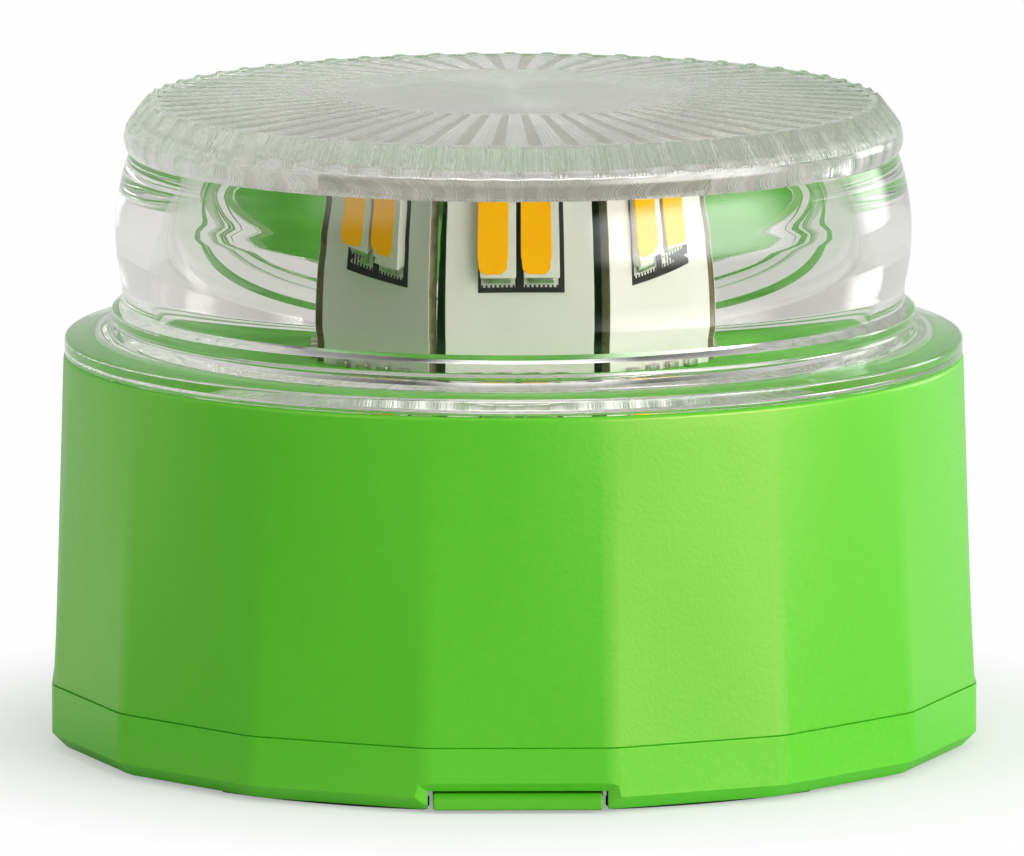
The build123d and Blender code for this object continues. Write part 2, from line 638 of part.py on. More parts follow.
def battery_contacts():
    """A plate with a pressed dimple at the plus end of each cell."""
    group = Part()
    for end, y in zip(CELL_ENDS, CELL_YS):
        plate = slab(BAY_X - CONTACT_T, BAY_X, -CONTACT_W / 2, CONTACT_W / 2, -CONTACT_L / 2, CONTACT_L / 2)
        dimple = rod(DIMPLE_R, CELL_L / 2, BAY_X - CONTACT_T, 0, 0)
        group += Pos(0, y, CELL_Z) * Rot(0, 0, 0 if end > 0 else 180) * (plate + dimple)
    return group


def battery_springs():
    """A bent leaf at the minus end of each cell."""
    wall_x = BAY_X - CONTACT_T / 2
    tip_x = CELL_L / 2 + CONTACT_T / 2
    half = CONTACT_L / 2
    path = Polyline((wall_x, -half), (wall_x, half), (tip_x, half / 4), (tip_x, -half / 4))
    leaf = extrude(Plane.XZ * trace(path, CONTACT_T), CONTACT_W / 2, both=True)
    leaf &= slab(CELL_L / 2, BAY_X, -CONTACT_W, CONTACT_W, -half, half)
    group = Part()
    for end, y in zip(CELL_ENDS, CELL_YS):
        group += Pos(0, y, CELL_Z) * Rot(0, 0, 180 if end > 0 else 0) * leaf
    return group


def lead_start(end):
    """Where a lead leaves the contact of the first cell: plus for 1, minus for -1."""
    return end * CELL_ENDS[0] * (BAY_X - LEAD_R), CELL_YS[0]


def lead(end):
    """A lead from a contact's upper edge, through the tray's roof, to the main board."""
    x, y = lead_start(end)
    low_z = CELL_Z + CONTACT_L / 2
    way = 1 if x > 0 else -1
    end_x = x + way * LEAD_X_SHIFT
    end_y = y + LEAD_Y_SHIFT
    points = [
        (x, y, low_z), (x, y, low_z + LEAD_RISE),
        (end_x, end_y, BOARD_Z - LEAD_END_RUN), (end_x, end_y, BOARD_Z),
    ]
    corners = [Vector(*point) for point in points]
    runs = [b - a for a, b in zip(corners, corners[1:])]
    bends = []
    for before, after in zip(runs, runs[1:]):
        half_turn = radians(before.get_angle(after)) / 2
        bends.append(LEAD_BEND_SHARE * min(before.length, after.length) / tan(half_turn))
    print("lead radii", [round(bend, 2) for bend in bends])
    path = FilletPolyline(*points, radius=bends)
    return sweep(Plane(origin=points[0], z_dir=(0, 0, 1)) * Circle(LEAD_R), path=path)


# ---------------------------------------------------------------- battery door
def battery_door():
    plate = slab(-DOOR_X, DOOR_X, DOOR_FRONT_Y, HINGE_Y, COVER_Z, COVER_Z + DOOR_T)
    plate += rod(BARREL_R, -DOOR_X, DOOR_X, HINGE_Y, HINGE_Z)
    reach = DOOR_X + SWING + TRUNNION_L - RUNNING
    plate += rod(TRUNNION_R, -reach, reach, HINGE_Y, HINGE_Z)
    rib_x = BAY_X - SWING
    rib_front = BAY_FRONT_Y + SWING
    rib_rear = BAY_REAR_Y - SWING
    rib_z = COVER_Z + DOOR_T
    rib = slab(-rib_x, rib_x, rib_front, rib_rear, rib_z, rib_z + DOOR_RIB_H)
    rib -= slab(-rib_x + DOOR_RIB_T, rib_x - DOOR_RIB_T, rib_front + DOOR_RIB_T, rib_rear - DOOR_RIB_T,
                rib_z, rib_z + DOOR_RIB_H)
    half = TAB_W / 2
    profile = Polyline(
        (0, DOOR_FRONT_Y, COVER_Z), (0, TAB_FRONT_Y, COVER_Z), (0, TAB_FRONT_Y, COVER_Z + TAB_T - TAB_BEVEL),
        (0, TAB_FRONT_Y + TAB_BEVEL, COVER_Z + TAB_T), (0, DOOR_FRONT_Y, COVER_Z + TAB_T),
        close=True,
    )
    tab = extrude(make_face(profile), amount=half, dir=(1, 0, 0), both=True)
    return plate + rib + tab


def door_seal():
    """A soft frame on the door's inner face, just under the base cover's ledge."""
    inner_x = BAY_X + SLIP
    inner_front = BAY_FRONT_Y - SLIP
    inner_rear = BAY_REAR_Y + SLIP
    low = COVER_Z + DOOR_T
    w = DOOR_SEAL_W
    frame = slab(-inner_x - w, inner_x + w, inner_front - w, inner_rear + w, low, low + DOOR_SEAL_T)
    return frame - slab(-inner_x, inner_x, inner_front, inner_rear, low, low + DOOR_SEAL_T)


# ---------------------------------------------------------------- power button and switch
def power_button():
    face_z = COVER_Z + BUTTON_SUNK
    flange_z = FLOOR_Z + TOUCH
    button = disc(BUTTON_R, face_z, flange_z + BUTTON_FLANGE_T, 0, BUTTON_Y)
    button += disc(BUTTON_FLANGE_R, flange_z, flange_z + BUTTON_FLANGE_T, 0, BUTTON_Y)
    return button + disc(STEM_R, flange_z, STEM_TOP_Z, 0, BUTTON_Y)


def tact_switch():
    half = SWITCH_SIZE / 2
    body = slab(-half, half, BUTTON_Y - half, BUTTON_Y + half, SWITCH_Z, SWITCH_BOARD_Z)
    return body + disc(PLUNGER_R, SWITCH_Z - PLUNGER_H, SWITCH_Z, 0, BUTTON_Y)


def switch_board():
    half_w = SWITCH_BOARD_W / 2
    half_d = SWITCH_BOARD_D / 2
    top = SWITCH_BOARD_Z + SWITCH_BOARD_T
    board = slab(-half_w, half_w, BUTTON_Y - half_d, BUTTON_Y + half_d, SWITCH_BOARD_Z, top)
    for x in (-SWITCH_POST_X, SWITCH_POST_X):
        board -= disc(SMALL_SHANK_R + SLIP, SWITCH_BOARD_Z, top, x, BUTTON_Y)
    return board


def switch_screw_point_z():
    return SWITCH_BOARD_Z + SWITCH_BOARD_T - SMALL_SCREW_L


def switch_screws():
    top = SWITCH_BOARD_Z + SWITCH_BOARD_T
    group = Part()
    for x in (-SWITCH_POST_X, SWITCH_POST_X):
        group += screw(x, BUTTON_Y, top, switch_screw_point_z(), SMALL_HEAD_R, SMALL_HEAD_T, SMALL_SHANK_R)
    return group


# ---------------------------------------------------------------- magnets and components
def magnet(n):
    """Numbers 0 and 1 are at the front, 2 and 3 at the rear."""
    at_front = n < 2
    reach = CASE_BORE_R - (MAGNET_FRONT_SET if at_front else MAGNET_REAR_SET)
    x = (-1 if n % 2 == 0 else 1) * reach * sin(radians(MAGNET_ANGLE))
    y = (-1 if at_front else 1) * reach * cos(radians(MAGNET_ANGLE))
    return disc(MAGNET_R, FLOOR_Z, FLOOR_Z + MAGNET_T, x, y)


def microcontroller():
    half = CHIP_SIZE / 2
    return slab(-half, half, CHIP_Y - half, CHIP_Y + half, BOARD_Z - CHIP_T, BOARD_Z)


def inductor():
    return disc(COIL_R, BOARD_Z - COIL_T, BOARD_Z, COIL_X, CHIP_Y)


def capacitors():
    group = Part()
    for n in range(2):
        group += disc(CAPACITOR_R, BOARD_Z - CAPACITOR_L, BOARD_Z, CAPACITOR_X, CHIP_Y - n * CAPACITOR_PITCH)
    return group


def resistors():
    group = Part()
    for n in range(RESISTORS):
        x = (n - (RESISTORS - 1) / 2) * RESISTOR_PITCH
        half = RESISTOR_W / 2
        group += slab(x - half, x + half, RESISTOR_Y, RESISTOR_Y + RESISTOR_L, BOARD_Z - RESISTOR_T, BOARD_Z)
    return group


def nodes():
    """Every sub-part by its node's name."""
    pieces = {
        "lens": lens(), "lens_seal": lens_seal(), "housing": housing(), "base_cover": base_cover(),
        "base_seal": base_seal(), "base_screws": base_screws(), "foot_pads": foot_pads(),
        "main_board": main_board(), "top_board": top_board(),
        "battery_tray": battery_tray(), "tray_screws": tray_screws(),
        "battery_contacts": battery_contacts(), "battery_springs": battery_springs(),
        "red_wire": lead(1), "black_wire": lead(-1),
        "battery_door": battery_door(), "door_seal": door_seal(),
        "power_button": power_button(), "tact_switch": tact_switch(),
        "switch_board": switch_board(), "switch_screws": switch_screws(),
        "microcontroller": microcontroller(), "inductor": inductor(),
        "capacitors": capacitors(), "resistors": resistors(),
    }
    for number, angle in enumerate(TOWER_ANGLES, start=1):
        pieces[f"led_board_{number}"] = around_tower(led_board(), angle)
        pieces[f"led_pair_{number}"] = around_tower(led_pair(), angle)
        pieces[f"led_window_{number}"] = around_tower(led_window(), angle)
    for n in range(CELLS):
        pieces[f"battery_cell_{n + 1}"] = battery_cell(n)
    for n in range(4):
        pieces[f"magnet_{n + 1}"] = magnet(n)
    return pieces


os.makedirs("parts", exist_ok=True)
for name, piece in nodes().items():
    export_step(piece, f"parts/{name}.step")
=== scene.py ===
"""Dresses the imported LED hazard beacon: a clear prismatic lens over an LED tower on a faceted green casing.

Lengths in the classes are millimetres, and MM turns them into Blender's metres.
"""

import json
import logging
import math
from dataclasses import dataclass, field
from enum import Enum
from functools import cache
from typing import Callable, Sequence

import bmesh
import bpy
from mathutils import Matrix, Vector

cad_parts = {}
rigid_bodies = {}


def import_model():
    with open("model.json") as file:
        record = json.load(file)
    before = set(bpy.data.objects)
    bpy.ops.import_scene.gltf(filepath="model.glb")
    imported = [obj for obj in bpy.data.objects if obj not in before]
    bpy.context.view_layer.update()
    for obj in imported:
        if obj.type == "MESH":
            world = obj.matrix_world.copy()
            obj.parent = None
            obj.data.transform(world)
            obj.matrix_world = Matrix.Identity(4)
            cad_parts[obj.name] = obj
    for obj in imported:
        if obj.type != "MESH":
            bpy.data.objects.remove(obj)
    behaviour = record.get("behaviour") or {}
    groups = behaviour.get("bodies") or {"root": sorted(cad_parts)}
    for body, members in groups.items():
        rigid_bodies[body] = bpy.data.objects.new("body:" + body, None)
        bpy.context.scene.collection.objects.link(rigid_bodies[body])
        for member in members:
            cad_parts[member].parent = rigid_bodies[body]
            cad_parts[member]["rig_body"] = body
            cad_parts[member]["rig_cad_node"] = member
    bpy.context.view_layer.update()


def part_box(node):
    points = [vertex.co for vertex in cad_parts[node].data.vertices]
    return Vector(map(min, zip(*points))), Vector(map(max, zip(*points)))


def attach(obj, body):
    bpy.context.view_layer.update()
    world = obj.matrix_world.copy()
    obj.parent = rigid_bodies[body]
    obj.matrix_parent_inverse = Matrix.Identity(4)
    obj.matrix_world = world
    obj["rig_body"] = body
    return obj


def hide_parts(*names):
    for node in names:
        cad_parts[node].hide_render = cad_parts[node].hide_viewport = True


MM = 0.001
MERGE = 1e-6
BODY = "body"
DOOR = "door"

LOG = logging.getLogger("beacon")

Colour = tuple[float, float, float]
Point = tuple[float, float]
Piece = bpy.types.Object
Socket = bpy.types.NodeSocket
Node = bpy.types.Node
Material = bpy.types.Material
Inputs = dict[int | str, object]

WHITE = (1.0, 1.0, 1.0, 1.0)


# ---- modelling by hand


def deselect() -> None:
    """Leaves object mode's selection empty."""
    if bpy.context.object and bpy.context.object.mode != "OBJECT":
        bpy.ops.object.mode_set(mode="OBJECT")
    bpy.ops.object.select_all(action="DESELECT")


def activate(piece: Piece) -> Piece:
    """Makes a piece the only selected and the active one.

    Args:
        piece: the piece.

    Returns:
        The same piece.
    """
    deselect()
    piece.select_set(True)
    bpy.context.view_layer.objects.active = piece
    return piece


def named(name: str) -> Piece:
    """Names the primitive just added, and its mesh.

    Args:
        name: the name.

    Returns:
        The primitive.
    """
    piece = bpy.context.object
    piece.name = name
    piece.data.name = name
    return piece


def settle(piece: Piece) -> Piece:
    """Applies a piece's place, turn and size to its mesh, so that its object sits at the origin.

    Args:
        piece: the piece.

    Returns:
        The same piece.
    """
    activate(piece)
    bpy.ops.object.transform_apply(location=True, rotation=True, scale=True)
    return piece


def edit(piece: Piece) -> None:
    """Opens a piece in edit mode, with vertices as the selection mode and all of them selected.

    Args:
        piece: the piece.
    """
    activate(piece)
    bpy.ops.object.mode_set(mode="EDIT")
    bpy.ops.mesh.select_mode(type="VERT")
    bpy.ops.mesh.select_all(action="SELECT")


def done() -> None:
    """Leaves edit mode."""
    bpy.ops.object.mode_set(mode="OBJECT")


def pick(kind: str, test: Callable[..., bool]) -> None:
    """Selects the vertices, edges or faces of the mesh being edited that pass a test.

    Args:
        kind: VERT, EDGE or FACE.
        test: takes a vertex's place, an edge's two ends, or a face's centre and normal, in metres.
    """
    bpy.ops.mesh.select_mode(type=kind)
    mesh = bmesh.from_edit_mesh(bpy.context.object.data)
    parts, look = {
        "VERT": (mesh.verts, lambda vertex: (vertex.co,)),
        "EDGE": (mesh.edges, lambda edge: [end.co for end in edge.verts]),
        "FACE": (mesh.faces, lambda face: (face.calc_center_median(), face.normal)),
    }[kind]
    for part in parts:
        part.select = test(*look(part))
    mesh.select_mode = {kind}
    mesh.select_flush_mode()
    bmesh.update_edit_mesh(bpy.context.object.data)


def paint(piece: Piece, index: int, test: Callable[[Vector, Vector], bool]) -> None:
    """Gives the faces of the piece being edited that pass a test one of its material slots.

    Args:
        piece: the piece.
        index: the slot's number.
        test: takes a face's centre and normal, in metres.
    """
    pick("FACE", test)
    piece.active_material_index = index
    bpy.ops.object.material_slot_assign()


def clothe(piece: Piece, *materials: Material) -> None:
    """Adds materials to a piece, in order."""
    for material in materials:
        piece.data.materials.append(material)


def draw_chain(name: str, points: Sequence[Point]) -> Piece:
    """Draws an open chain of edges in the XZ plane, by extruding one vertex along it.

    Args:
        name: the new piece's name.
        points: (radius, height) in millimetres.

    Returns:
        The piece, left in edit mode with everything selected.
    """
    deselect()
    bpy.ops.mesh.primitive_plane_add(size=MM)
    piece = named(name)
    edit(piece)
    bpy.ops.mesh.merge(type="CENTER")
    places = [Vector((radius * MM, 0, height * MM)) for radius, height in points]
    bpy.ops.transform.translate(value=places[0])
    for before, after in zip(places, places[1:]):
        bpy.ops.mesh.extrude_vertices_move(TRANSFORM_OT_translate={"value": after - before})
    bpy.ops.mesh.select_all(action="SELECT")
    return piece


def spin(steps: int, angle: float, dupli: bool = False) -> None:
    """Turns or copies what is selected round the Z axis by an angle in radians."""
    bpy.ops.mesh.spin(steps=steps, angle=angle, dupli=dupli, center=(0, 0, 0), axis=(0, 0, 1))


def close_up(threshold: float = MERGE) -> None:
    """Merges coincident vertices of the mesh being edited and turns its faces outwards.

    Args:
        threshold: how near two vertices lie that are merged, in metres.
    """
    bpy.ops.mesh.select_all(action="SELECT")
    bpy.ops.mesh.remove_doubles(threshold=threshold)
    bpy.ops.mesh.normals_make_consistent(inside=False)


def apply_modifier(piece: Piece, kind: str, **settings: object) -> None:
    """Adds a modifier with its settings and applies it.

    Args:
        piece: the piece.
        kind: the modifier's type.
        settings: its properties.
    """
    activate(piece)
    modifier = piece.modifiers.new(kind.title(), kind)
    for name, value in settings.items():
        setattr(modifier, name, value)
    bpy.ops.object.modifier_apply(modifier=modifier.name)


def smooth(piece: Piece, angle: float = 30.0) -> Piece:
    """Shades a piece smooth across edges flatter than an angle in degrees.

    Args:
        piece: the piece.
        angle: the angle in degrees.

    Returns:
        The same piece.
    """
    activate(piece)
    bpy.ops.object.shade_smooth_by_angle(angle=math.radians(angle))
    return piece


def soften(piece: Piece, width: float, segments: int = 2, angle: float = 30.0) -> Piece:
    """Rounds a piece's edges by a width in millimetres and keeps its flat faces flat in the shading.

    Args:
        piece: the piece.
        width: the rounding's width.
        segments: how many faces it has across.
        angle: edges flatter than so many degrees stay as they are.

    Returns:
        The same piece.
    """
    limit = math.radians(angle)
    apply_modifier(piece, "BEVEL", width=width * MM, segments=segments, limit_method="ANGLE",
                   angle_limit=limit)
    smooth(piece, 40.0)
    apply_modifier(piece, "WEIGHTED_NORMAL", keep_sharp=True, weight=80)
    return piece


def twin(piece: Piece, name: str) -> Piece:
    """A copy of a piece with its own mesh and a new name.

    Args:
        piece: what is copied.
        name: the copy's name.

    Returns:
        The copy.
    """
    copy = piece.copy()
    copy.data = piece.data.copy()
    copy.name = copy.data.name = name
    bpy.context.scene.collection.objects.link(copy)
    return copy


def copy_round(piece: Piece, name: str, angle: float) -> Piece:
    """A copy of a piece turned round the Z axis by an angle in degrees.

    Args:
        piece: what is copied.
        name: the copy's name.
        angle: how far it is turned, in degrees.

    Returns:
        The copy.
    """
    copy = twin(piece, name)
    copy.rotation_euler = (0, 0, math.radians(angle))
    return settle(copy)


def box_piece(name: str, low: Sequence[float], high: Sequence[float]) -> Piece:
    """A cube primitive shaped to two opposite corners in millimetres.

    Args:
        name: the new piece's name.
        low: its lowest corner.
        high: its highest corner.

    Returns:
        The piece.
    """
    deselect()
    middle = [(a + b) / 2 * MM for a, b in zip(low, high)]
    bpy.ops.mesh.primitive_cube_add(size=1, location=middle)
    piece = named(name)
    piece.scale = [(b - a) * MM for a, b in zip(low, high)]
    return settle(piece)


def join(pieces: Sequence[Piece]) -> Piece:
    """Joins pieces into the first one.

    Args:
        pieces: the pieces.

    Returns:
        The first piece.
    """
    activate(pieces[0])
    for piece in pieces:
        piece.select_set(True)
    bpy.ops.object.join()
    return pieces[0]


# ---- finishes


def srgb(red: float, green: float, blue: float) -> tuple[float, float, float, float]:
    """A colour on a 0-255 scale, as Blender's linear colour.

    Args:
        red: from 0 to 255.
        green: from 0 to 255.
        blue: from 0 to 255.

    Returns:
        Red, green, blue and alpha from 0 to 1.
    """

    def linear(value: float) -> float:
        """One channel."""
        share = value / 255
        return share / 12.92 if share <= 0.04045 else ((share + 0.055) / 1.055) ** 2.4

    return (linear(red), linear(green), linear(blue), 1.0)


class Wiring:
    """A node tree while it is being put together."""

    def __init__(self, tree: bpy.types.NodeTree) -> None:
        """Takes the tree."""
        self.tree = tree

    def add(self, kind: str, inputs: Inputs | None = None, **settings: object) -> Node:
        """Adds a node.

        Args:
            kind: the node's type.
            inputs: what each input holds, as a value or as the socket that leads to it.
            settings: the node's properties.

        Returns:
            The node.
        """
        node = self.tree.nodes.new(kind)
        for name, value in settings.items():
            setattr(node, name, value)
        for name, value in (inputs or {}).items():
            if isinstance(value, Socket):
                self.link(value, node.inputs[name])
            else:
                node.inputs[name].default_value = value
        return node

    def link(self, source: Socket, target: Socket) -> None:
        """Joins two sockets."""
        self.tree.links.new(source, target)

    def math(self, operation: str, first: object, second: object) -> Socket:
        """The result of a sum on two values or sockets."""
        return self.add("ShaderNodeMath", {0: first, 1: second}, operation=operation).outputs[0]

    def rays(self, *kinds: str) -> Socket:
        """One where a ray is of one of the kinds named, and nought elsewhere.

        Args:
            kinds: names of rays, as the light path node gives them.

        Returns:
            The socket.
        """
        path = self.add("ShaderNodeLightPath")
        total = path.outputs[kinds[0]]
        for kind in kinds[1:]:
            total = self.math("MAXIMUM", total, path.outputs[kind])
        return total

    def spread(self, value: Socket, low: float, high: float, start: float = 0.3, end: float = 0.7) -> Socket:
        """Maps a value between start and end to the range from low to high."""
        inputs = {"Value": value, "From Min": start, "From Max": end, "To Min": low, "To Max": high}
        return self.add("ShaderNodeMapRange", inputs).outputs["Result"]


class Recipe(Wiring):
    """A material while it is being put together."""

    def __init__(self, name: str) -> None:
        """Starts a material with one Principled shader.

        Args:
            name: the material's name.
        """
        self.material = bpy.data.materials.new(name)
        self.material.use_nodes = True
        super().__init__(self.material.node_tree)
        self.shader = self.tree.nodes["Principled BSDF"]

    def set(self, **values: object) -> None:
        """Sets or links the shader's own sockets, with underscores for the spaces in their names.

        Args:
            values: what each socket holds, as a value or as the socket that leads to it.
        """
        for name, value in values.items():
            socket = self.shader.inputs[name.replace("_", " ")]
            if isinstance(value, Socket):
                self.link(value, socket)
            else:
                socket.default_value = value

    def place(self) -> Socket:
        """Object coordinates."""
        return self.add("ShaderNodeTexCoord").outputs["Object"]

    def noise(self, scale: float, detail: float = 4.0) -> Socket:
        """A noise value over the piece, with so many blobs to the metre."""
        inputs = {"Vector": self.place(), "Scale": scale, "Detail": detail}
        return self.add("ShaderNodeTexNoise", inputs).outputs["Fac"]

    def streaks(self, count: float) -> Socket:
        """Uneven lines that run out from the Z axis, so many to the turn.

        Args:
            count: how many lines.

        Returns:
            The socket.
        """
        split = self.add("ShaderNodeSeparateXYZ", {0: self.place()}).outputs
        turn = self.math("ARCTAN2", split["X"], self.math("MULTIPLY", split["Y"], -1.0))
        inputs = {"W": turn, "Scale": count / math.tau, "Detail": 1.0}
        return self.add("ShaderNodeTexNoise", inputs, noise_dimensions="1D").outputs["Fac"]

    def blend(self, share: Socket, first: Colour, second: Colour) -> Socket:
        """Mixes two colours on a 0-255 scale by a share from 0 to 1."""
        inputs = {0: share, 6: srgb(*first), 7: srgb(*second)}
        return self.add("ShaderNodeMix", inputs, data_type="RGBA").outputs[2]

    def bump(self, height: Socket, depth: float) -> None:
        """Raises the surface by a height value times a depth in millimetres."""
        node = self.add("ShaderNodeBump", {"Height": height, "Distance": depth * MM, "Strength": 1.0})
        self.set(Normal=node.outputs["Normal"])

    def overlay(self, share: Socket, over: Node) -> None:
        """Lays another shader over the material's own by a share from 0 to 1."""
        mix = self.add("ShaderNodeMixShader", {0: share, 1: self.shader.outputs[0], 2: over.outputs[0]})
        self.link(mix.outputs[0], self.tree.nodes["Material Output"].inputs["Surface"])


@dataclass(frozen=True)
class MouldedPlastic:
    """Injection-moulded plastic with a fine eroded grain and a faint drift of tone."""

    name: str
    colour: Colour
    shade: Colour
    roughness: float = 0.42
    grain: float = 2600.0
    drift: float = 28.0
    uneven: float = 0.05
    depth: float = 0.012
    specular: float = 0.5
    gloss: Colour = (255, 255, 255)
    index: float = 1.5

    def material(self) -> Material:
        """Builds the node material.

        Returns:
            The material.
        """
        recipe = Recipe(self.name)
        grain = recipe.noise(self.grain, detail=2.0)
        drift = recipe.spread(recipe.noise(self.drift, detail=3.0), 0.0, 1.0)
        recipe.set(
            IOR=self.index, Specular_IOR_Level=self.specular, Specular_Tint=srgb(*self.gloss),
            Base_Color=recipe.blend(drift, self.colour, self.shade),
            Roughness=recipe.spread(grain, self.roughness - self.uneven, self.roughness + self.uneven),
        )
        recipe.bump(grain, self.depth)
        return recipe.material


@dataclass(frozen=True)
class ClearPlastic:
    """Polished clear polycarbonate that lets lamps through to what is inside it."""

    name: str
    tint: Colour
    shadow: Colour = (250, 250, 247)
    index: float = 1.585
    ripple: float = 0.0006
    ripples: float = 160.0
    haze: float = 0.012
    rough: float = 0.0
    grain: float = 420.0
    streaks: float = 0.0
    streak_depth: float = 0.08

    def material(self) -> Material:
        """Builds the node material.

        Returns:
            The material.
        """
        recipe = Recipe(self.name)
        rough = recipe.spread(recipe.noise(self.grain), self.rough, self.rough * 1.3 + self.haze, 0.5, 0.8)
        recipe.set(Base_Color=srgb(*self.tint), IOR=self.index, Transmission_Weight=1.0, Roughness=rough)
        if self.streaks:
            recipe.bump(recipe.streaks(self.streaks), self.streak_depth)
        else:
            recipe.bump(recipe.noise(self.ripples, detail=2.0), self.ripple)
        through = recipe.add("ShaderNodeBsdfTransparent", {"Color": srgb(*self.shadow)})
        recipe.overlay(recipe.rays("Is Shadow Ray"), through)
        return recipe.material


@dataclass(frozen=True)
class Coated:
    """A painted, coated or printed surface with fine unevenness."""

    name: str
    colour: Colour
    shade: Colour
    roughness: float = 0.35
    scale: float = 300.0
    depth: float = 0.004
    metallic: float = 0.0
    specular: float = 0.5
    glow: float = 0.0

    def material(self) -> Material:
        """Builds the node material.

        Returns:
            The material.
        """
        recipe = Recipe(self.name)
        blobs = recipe.noise(self.scale)
        recipe.set(
            Metallic=self.metallic, Specular_IOR_Level=self.specular,
            Base_Color=recipe.blend(recipe.spread(blobs, 0.0, 1.0), self.colour, self.shade),
            Roughness=recipe.spread(blobs, self.roughness * 0.8, self.roughness * 1.2),
        )
        # Painted light: the emission makes the surface glow though it is no lamp.
        if self.glow:
            recipe.set(Emission_Color=srgb(*self.colour), Emission_Strength=self.glow)
        recipe.bump(recipe.noise(self.scale * 6, detail=2.0), self.depth)
        return recipe.material


WARM_GLOSS = (255, 192, 165)


class Finish(Enum):
    """The finishes of the beacon's pieces."""

    CASING = MouldedPlastic("green_casing", (70, 199, 27), (64, 193, 25), roughness=0.38, specular=1.0,
                            gloss=WARM_GLOSS, index=1.7)
    UNDERSIDE = MouldedPlastic("green_cover", (72, 202, 31), (66, 196, 29), roughness=0.38, grain=2400.0,
                               specular=1.0, gloss=WARM_GLOSS, index=1.7)
    TAB = MouldedPlastic("green_door", (73, 186, 33), (67, 180, 30), roughness=0.4, grain=2500.0,
                         specular=0.7, gloss=WARM_GLOSS, index=1.7)
    LENS = ClearPlastic("clear_lens", (249, 248, 245))
    LENS_TOP = ClearPlastic("satin_lens", (246, 245, 240), rough=0.02, grain=900.0, streaks=800.0)
    # Painted shade: the bars' warm grey tint darkens them and stands in for the dim, brownish interior seen
    # through them.
    LENS_BAR = ClearPlastic("textured_lens_painted_shade", (222, 214, 206), rough=0.38, grain=2600.0)
    SEAL = Coated("grey_seal", (120, 122, 116), (104, 106, 100), roughness=0.7, scale=900.0, depth=0.02)
    # Partly painted shade: the rubber foot pads are real, but their dark green stands in for the shade along
    # the base's lower edge.
    FOOT = Coated("foot_pad_painted_shade", (30, 62, 14), (24, 52, 12), roughness=0.8, scale=1400.0, depth=0.02)
    MAIN_BOARD = Coated("green_board", (104, 200, 58), (84, 176, 48), roughness=0.5, scale=140.0,
                        specular=0.15)
    TOP_BOARD = Coated("bare_laminate", (150, 140, 122), (134, 124, 106), roughness=0.55, scale=260.0,
                       depth=0.01)
    LED_BOARD = Coated("white_board", (236, 231, 229), (230, 225, 221), scale=200.0, specular=0.3)
    BOARD_EDGE = Coated("laminate_edge", (150, 144, 112), (118, 110, 82), roughness=0.8, scale=1500.0,
                        depth=0.03)
    PRINT = Coated("black_print", (26, 24, 22), (36, 32, 30), roughness=0.6, scale=1200.0)
    PACKAGE = Coated("led_body", (232, 230, 222), (222, 220, 210), scale=700.0)
    # Painted light: the phosphor glows though the LEDs are off.
    PHOSPHOR = Coated("led_phosphor", (255, 182, 0), (252, 174, 0), roughness=0.5, scale=900.0,
                      specular=0.1, glow=0.14)
    SOLDER = Coated("solder", (226, 224, 218), (176, 172, 164), roughness=0.34, scale=1500.0, depth=0.03,
                    metallic=1.0)
    STEEL = Coated("zinc_steel", (176, 176, 172), (150, 150, 146), roughness=0.32, scale=900.0,
                   depth=0.01, metallic=1.0)
    NICKEL = Coated("nickel", (206, 200, 190), (190, 184, 172), roughness=0.2, scale=900.0, metallic=1.0)
    BLACK = MouldedPlastic("black_plastic", (20, 20, 20), (26, 26, 26), roughness=0.5)
    RUBBER = MouldedPlastic("black_rubber", (24, 24, 24), (34, 34, 34), roughness=0.7)
    EPOXY = MouldedPlastic("moulded_epoxy", (22, 22, 24), (30, 30, 32), roughness=0.55)
    CELL = Coated("cell_wrap", (70, 78, 86), (62, 70, 78), roughness=0.3, scale=120.0)
    RED_LEAD = Coated("red_lead", (176, 22, 18), (160, 18, 16), roughness=0.4, scale=900.0)
    BLACK_LEAD = Coated("black_lead", (26, 26, 26), (34, 34, 34), roughness=0.4, scale=900.0)


@cache
def material_of(finish: Finish) -> Material:
    """A finish's material, built when it is first asked for."""
    return finish.value.material()


def dress(piece: Piece, finish: Finish, body: str) -> Piece:
    """Gives a piece its finish and the body that it rides on.

    Args:
        piece: the piece.
        finish: what it wears, where it has no material yet.
        body: the body.

    Returns:
        The same piece.
    """
    if not piece.data.materials:
        clothe(piece, material_of(finish))
    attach(piece, body)
    LOG.info("piece %s rides on %s", piece.name, body)
    return piece


# ---- profiles


def reach_of(node: str) -> tuple[float, float, float]:
    """A node's lowest and highest height and its reach along X, in millimetres."""
    low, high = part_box(node)
    return low.z / MM, high.z / MM, high.x / MM


def beside(start: Point, step: Point) -> Point:
    """The point a step away from another."""
    return (start[0] + step[0], start[1] + step[1])


def span(middle: float, half: float) -> Point:
    """Both ends of a length, given its middle and its half."""
    return (middle - half, middle + half)


